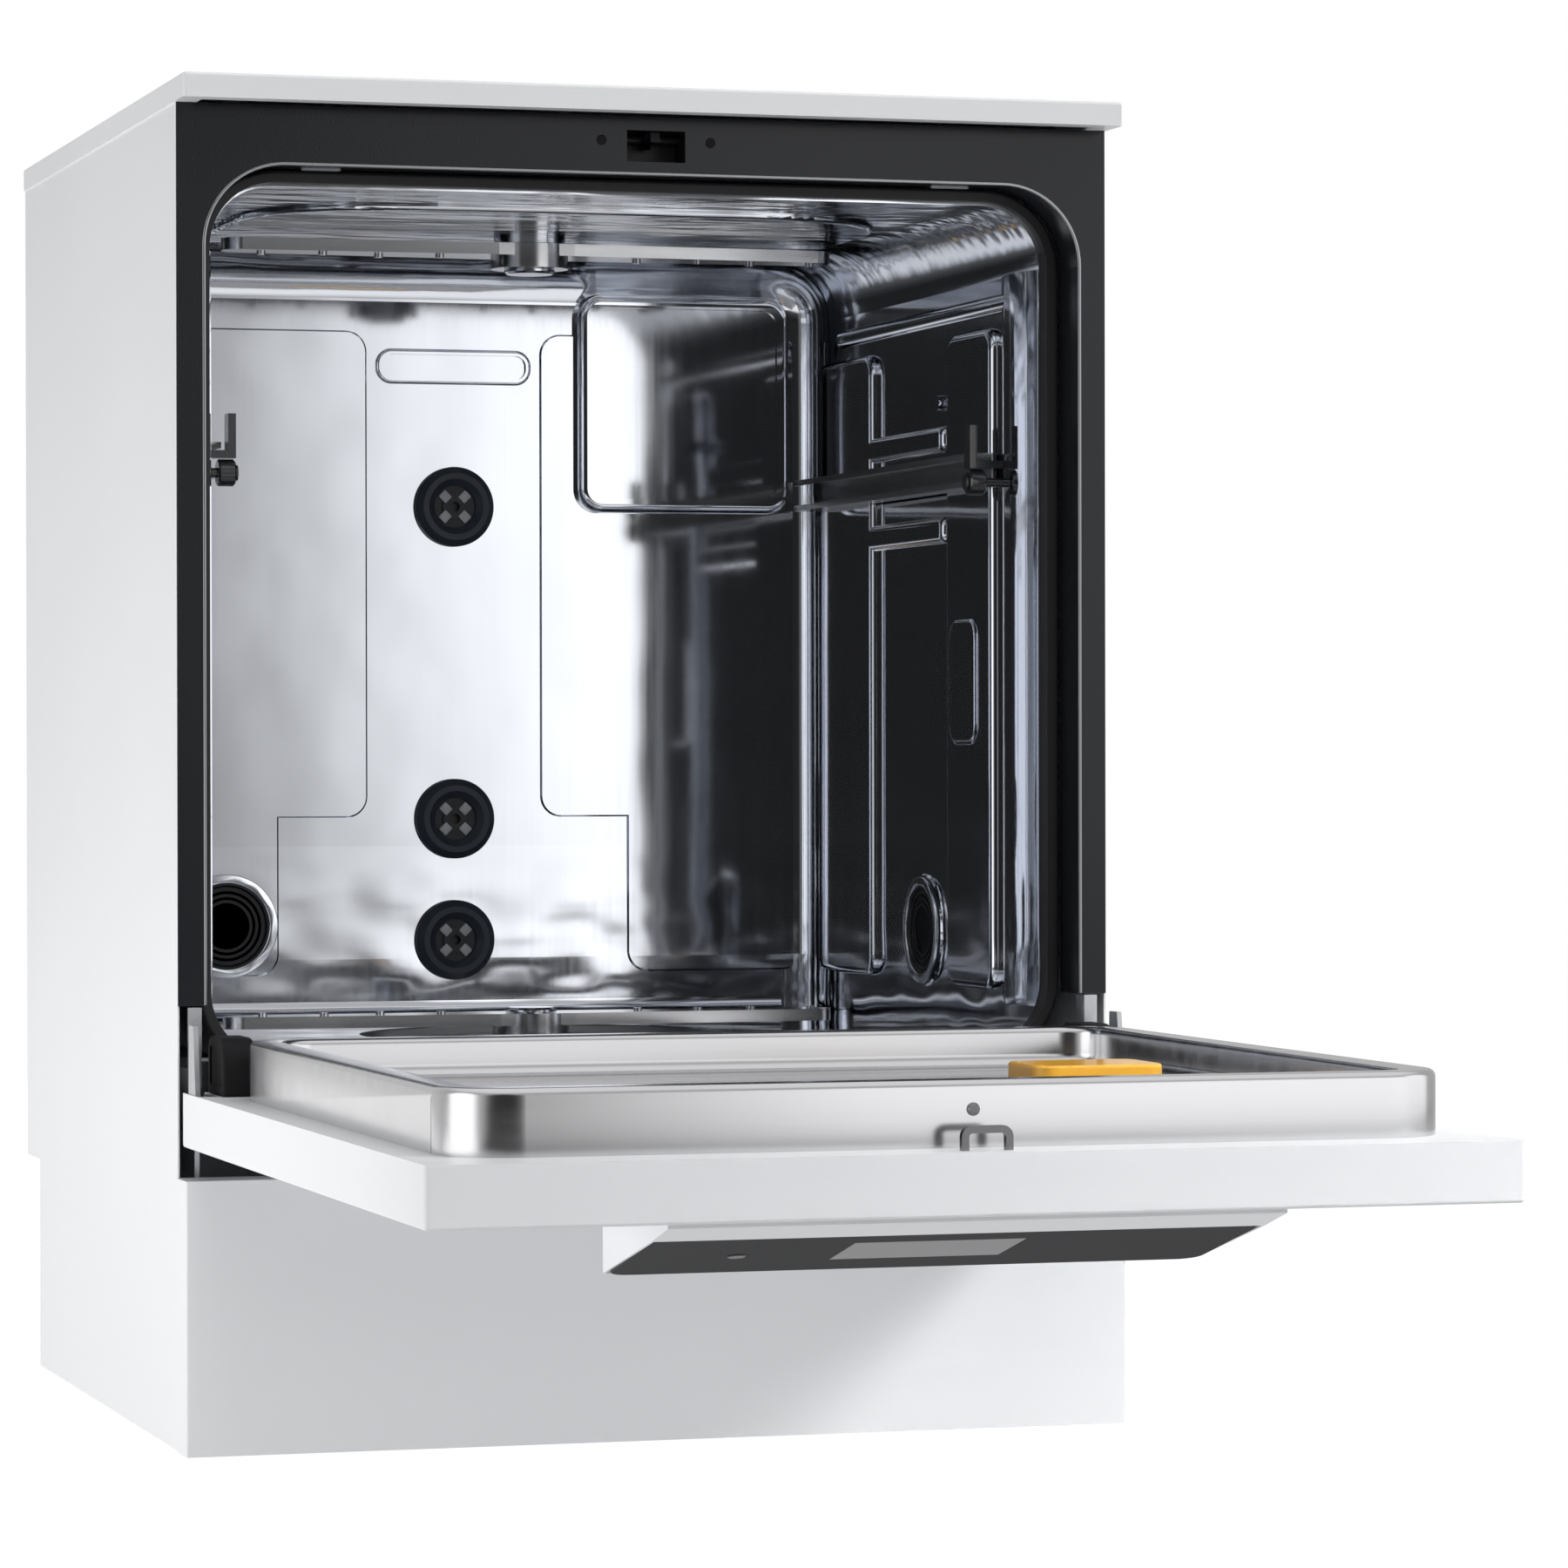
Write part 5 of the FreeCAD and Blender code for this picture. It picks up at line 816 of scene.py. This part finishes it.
class DISHWASHER_OT_control_glass(Operator):
    """Cut the dark control glass with its round corners and its openings"""

    bl_idname = "dishwasher.control_glass"
    bl_label = "Control glass"

    def execute(self, context):
        corner = context.scene.dishwasher_sizes.glass_corner
        thick, edge, gap, through = 0.003, 0.0006, 0.0002, 0.01
        key_radius, key_shift, key_depth = 0.0053, 0.0007, 0.03
        low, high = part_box("control_glass")
        drop, run = high[2] - low[2] - thick, high[1] - low[1]
        slope = math.atan2(drop, run)
        stretch = 1 / math.cos(slope)
        end = (high[0], math.hypot(drop, run), thick * math.cos(slope))
        piece = pad("control_pane", (low[0], 0, 0), end, 2, -1, corner, edge)
        near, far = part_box("display_panel")
        screen = block("screen_gap", (near[0] - gap, (near[1] - low[1]) * stretch - gap, -through),
                       (far[0] + gap, (far[1] - low[1]) * stretch + gap, through))
        button = midpoint(*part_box("power_button"))
        key_place = (button[0], (button[1] - low[1]) * stretch - key_shift, 0)
        carve(piece, screen, drum("key_gap", key_place, key_radius, key_depth))
        piece.rotation_euler.x = -slope
        piece.location = (0, low[1], high[2] - thick)
        focus(piece)
        apply_place()
        deliver(piece, "door", "glass", ["control_glass"])
        return {"FINISHED"}


class DISHWASHER_OT_frame_clips(Operator):
    """Put the pale clips into the upper recess of the front frame"""

    bl_idname = "dishwasher.frame_clips"
    bl_label = "Frame clips"

    def execute(self, context):
        half = context.scene.dishwasher_sizes.clip / 2
        place, front, rear, below, above = -0.2035, -0.247, -0.240, 0.0011, 0.0004
        corner, edge = 0.0033, 0.0006
        clip = pad("frame_clip_left", (place - half, front, FRAME_TOP - below),
                   (place + half, rear, FRAME_TOP + above), 2, -1, corner, edge)
        other = flip(clip, "frame_clip_right")
        deliver(clip, "cabinet", "pale")
        deliver(other, "cabinet", "pale")
        return {"FINISHED"}


class DISHWASHER_OT_frame_bead(Operator):
    """Roll the edge round the opening of the front frame"""

    bl_idname = "dishwasher.frame_bead"
    bl_label = "Frame bead"

    def execute(self, context):
        radius = context.scene.dishwasher_sizes.bead
        half, corner, proud, through, below = 0.2815, 0.051, 0.0007, 0.01, 0.002
        soften = radius * 0.8
        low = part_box("front_frame")[0]
        bars = []
        shapes = (("frame_bead", radius, proud, radius, 0), ("bead_gap", -radius, through, through, below))
        for name, grow, ahead, behind, drop in shapes:
            bar = block(name, (-half - grow, low[1] - ahead, low[2] - drop),
                        (half + grow, low[1] + behind, FRAME_TOP + grow))
            pick(bar, "EDGE", both(level(2, FRAME_TOP + grow), along(1)))
            bevel(corner + grow, 16)
            bars.append(bar)
        piece, gap = bars
        carve(piece, gap)
        pick(piece, "EDGE", both(level(1, low[1] - proud), creased))
        bevel(soften, 4)
        # The grey steel paints the highlight along the dark frame's edge
        deliver(piece, "cabinet", "bead")
        return {"FINISHED"}


class DISHWASHER_OT_stage(Operator):
    """Lay the floor, light the studio and set up the camera"""

    bl_idname = "dishwasher.stage"
    bl_label = "Stage"

    def execute(self, context):
        deselect()
        bpy.ops.mesh.primitive_circle_add(vertices=96, radius=9.0, fill_type="NGON", location=(0, -0.3, 0))
        floor = settle("studio_floor")
        floor.data.materials.append(self.pale_floor())
        for lamp in LAMPS:
            self.light(*lamp)
        self.world(context.scene)
        self.camera(context.scene)
        return {"FINISHED"}

    def pale_floor(self):
        """Studio sweep: white to the eye; its glow is painted light, mirrored as patches of painted light
        and shade, throwing little light up.
        """
        fade = (3.2, 2.2)
        # Painted glow of the floor, lighting the machine from below
        thrown = neutral(0.50)

        def build(graph):
            seen = graph.add("ShaderNodeLightPath", output="Is Camera Ray")
            mirrored = graph.add("ShaderNodeLightPath", output="Is Glossy Ray")
            spot = graph.place()
            way = graph.add("ShaderNodeVectorMath", {"operation": "NORMALIZE"}, {0: spot})
            reach = graph.add("ShaderNodeVectorMath", {"operation": "LENGTH"}, {0: spot}, "Value")
            painted_glow_patches = graph.mix(graph.ramp(reach, *fade), self.cards(graph, way, FLOOR_BASE, FLOOR_CARDS), WHITE)
            glow = graph.mix(mirrored, thrown, painted_glow_patches)
            return {
                "Base Color": graph.mix(graph.noise(3.0), neutral(0.05), neutral(0.07)),
                "Roughness": 0.8,
                "Specular IOR Level": 0.0,
                "Emission Color": graph.mix(seen, glow, WHITE),
                "Emission Strength": 1.0,
            }

        return surface("pale_floor", build)

    def cards(self, graph, way, base, places):
        """Brightness by direction, from a base and cards laid over it."""
        colour = neutral(base)
        for (azimuth, height, inner, outer), bright in places:
            turn = math.radians(azimuth)
            aim = Vector((math.sin(turn), -math.cos(turn), height)).normalized()
            near = graph.add("ShaderNodeVectorMath", {"operation": "DOT_PRODUCT"}, {0: way, 1: aim}, "Value")
            start, end = math.cos(math.radians(outer)), math.cos(math.radians(inner))
            colour = graph.mix(graph.ramp(near, start, end, "SMOOTHERSTEP"), colour, neutral(bright))
        return colour

    def light(self, name, place, aim, size, power, spread):
        """Area lamp that lights surfaces without being mirrored in them."""
        data = bpy.data.lights.new(name, "AREA")
        data.spread = math.radians(spread)
        data.shape = "RECTANGLE"
        data.size, data.size_y = size
        data.energy = power
        lamp = bpy.data.objects.new(name, data)
        lamp.location = place
        lamp.visible_glossy = False
        lamp.rotation_euler = (Vector(aim) - Vector(place)).to_track_quat("-Z", "Y").to_euler()
        bpy.context.scene.collection.objects.link(lamp)

    def world(self, scene):
        """Pale studio with bright cards overhead, on both sides and behind, and a dark camera side."""
        world = bpy.data.worlds.new("studio")
        scene.world = world
        world.cycles_visibility.diffuse = False
        world.use_nodes = True
        graph = Graph(world.node_tree)
        way = graph.add("ShaderNodeTexCoord", output="Generated")
        mirrored = self.cards(graph, way, WORLD_BASE, WORLD_CARDS)
        seen = graph.add("ShaderNodeLightPath", output="Is Camera Ray")
        colour = graph.mix(seen, mirrored, WHITE)
        glow = graph.add("ShaderNodeBackground", None, {"Color": colour, "Strength": 1.0})
        graph.add("ShaderNodeOutputWorld", None, {"Surface": glow})

    def camera(self, scene):
        """Camera at its fitted place, turned by yaw, pitch and roll."""
        data = bpy.data.cameras.new("photo_camera")
        data.sensor_width = SENSOR_WIDTH
        data.lens = FOCAL_PIXELS * SENSOR_WIDTH / PICTURE_PIXELS
        data.clip_end = 100.0
        yaw, pitch, roll = (math.radians(angle) for angle in CAMERA_ANGLES)
        ahead = Vector((math.sin(yaw) * math.cos(pitch), math.cos(yaw) * math.cos(pitch), math.sin(pitch)))
        right = Vector((math.cos(yaw), -math.sin(yaw), 0.0))
        up = right.cross(ahead)
        side = math.cos(roll) * right + math.sin(roll) * up
        top = math.cos(roll) * up - math.sin(roll) * right
        camera = bpy.data.objects.new("photo_camera", data)
        turn = Matrix((side, top, -ahead)).transposed().to_4x4()
        camera.matrix_world = Matrix.Translation(CAMERA_PLACE) @ turn
        scene.collection.objects.link(camera)
        scene.camera = camera
        scene.view_settings.view_transform = "Standard"


class DISHWASHER_PT_tools(Panel):
    """Makers of the dishwasher's looks"""

    bl_idname = "DISHWASHER_PT_tools"
    bl_label = "Laboratory Dishwasher"
    bl_space_type = "VIEW_3D"
    bl_region_type = "UI"
    bl_category = "Dishwasher"

    def draw(self, context):
        column = self.layout.column(align=True)
        for maker in OPERATORS:
            column.operator(maker.bl_idname)
        for group in (context.scene.dishwasher_finishes, context.scene.dishwasher_sizes):
            column = self.layout.column()
            for name in group.__annotations__:
                column.prop(group, name)


OPERATORS = (
    DISHWASHER_OT_finishes,
    DISHWASHER_OT_liner,
    DISHWASHER_OT_hinge_covers,
    DISHWASHER_OT_tub_bends,
    DISHWASHER_OT_tub_swages,
    DISHWASHER_OT_coupling_lugs,
    DISHWASHER_OT_vents,
    DISHWASHER_OT_control_glass,
    DISHWASHER_OT_frame_clips,
    DISHWASHER_OT_frame_bead,
    DISHWASHER_OT_stage,
)
CLASSES = (DishwasherFinishes, DishwasherSizes, *OPERATORS, DISHWASHER_PT_tools)


def register():
    for part in CLASSES:
        bpy.utils.register_class(part)
    bpy.types.Scene.dishwasher_finishes = PointerProperty(type=DishwasherFinishes)
    bpy.types.Scene.dishwasher_sizes = PointerProperty(type=DishwasherSizes)


def unregister():
    del bpy.types.Scene.dishwasher_sizes
    del bpy.types.Scene.dishwasher_finishes
    for part in reversed(CLASSES):
        bpy.utils.unregister_class(part)


def main():
    register()
    bpy.ops.dishwasher.finishes()
    bpy.ops.dishwasher.liner()
    bpy.ops.dishwasher.hinge_covers()
    bpy.ops.dishwasher.tub_bends()
    bpy.ops.dishwasher.tub_swages()
    bpy.ops.dishwasher.coupling_lugs()
    bpy.ops.dishwasher.vents()
    bpy.ops.dishwasher.control_glass()
    bpy.ops.dishwasher.frame_clips()
    bpy.ops.dishwasher.frame_bead()
    bpy.ops.dishwasher.stage()


if __name__ == "__main__":
    main()
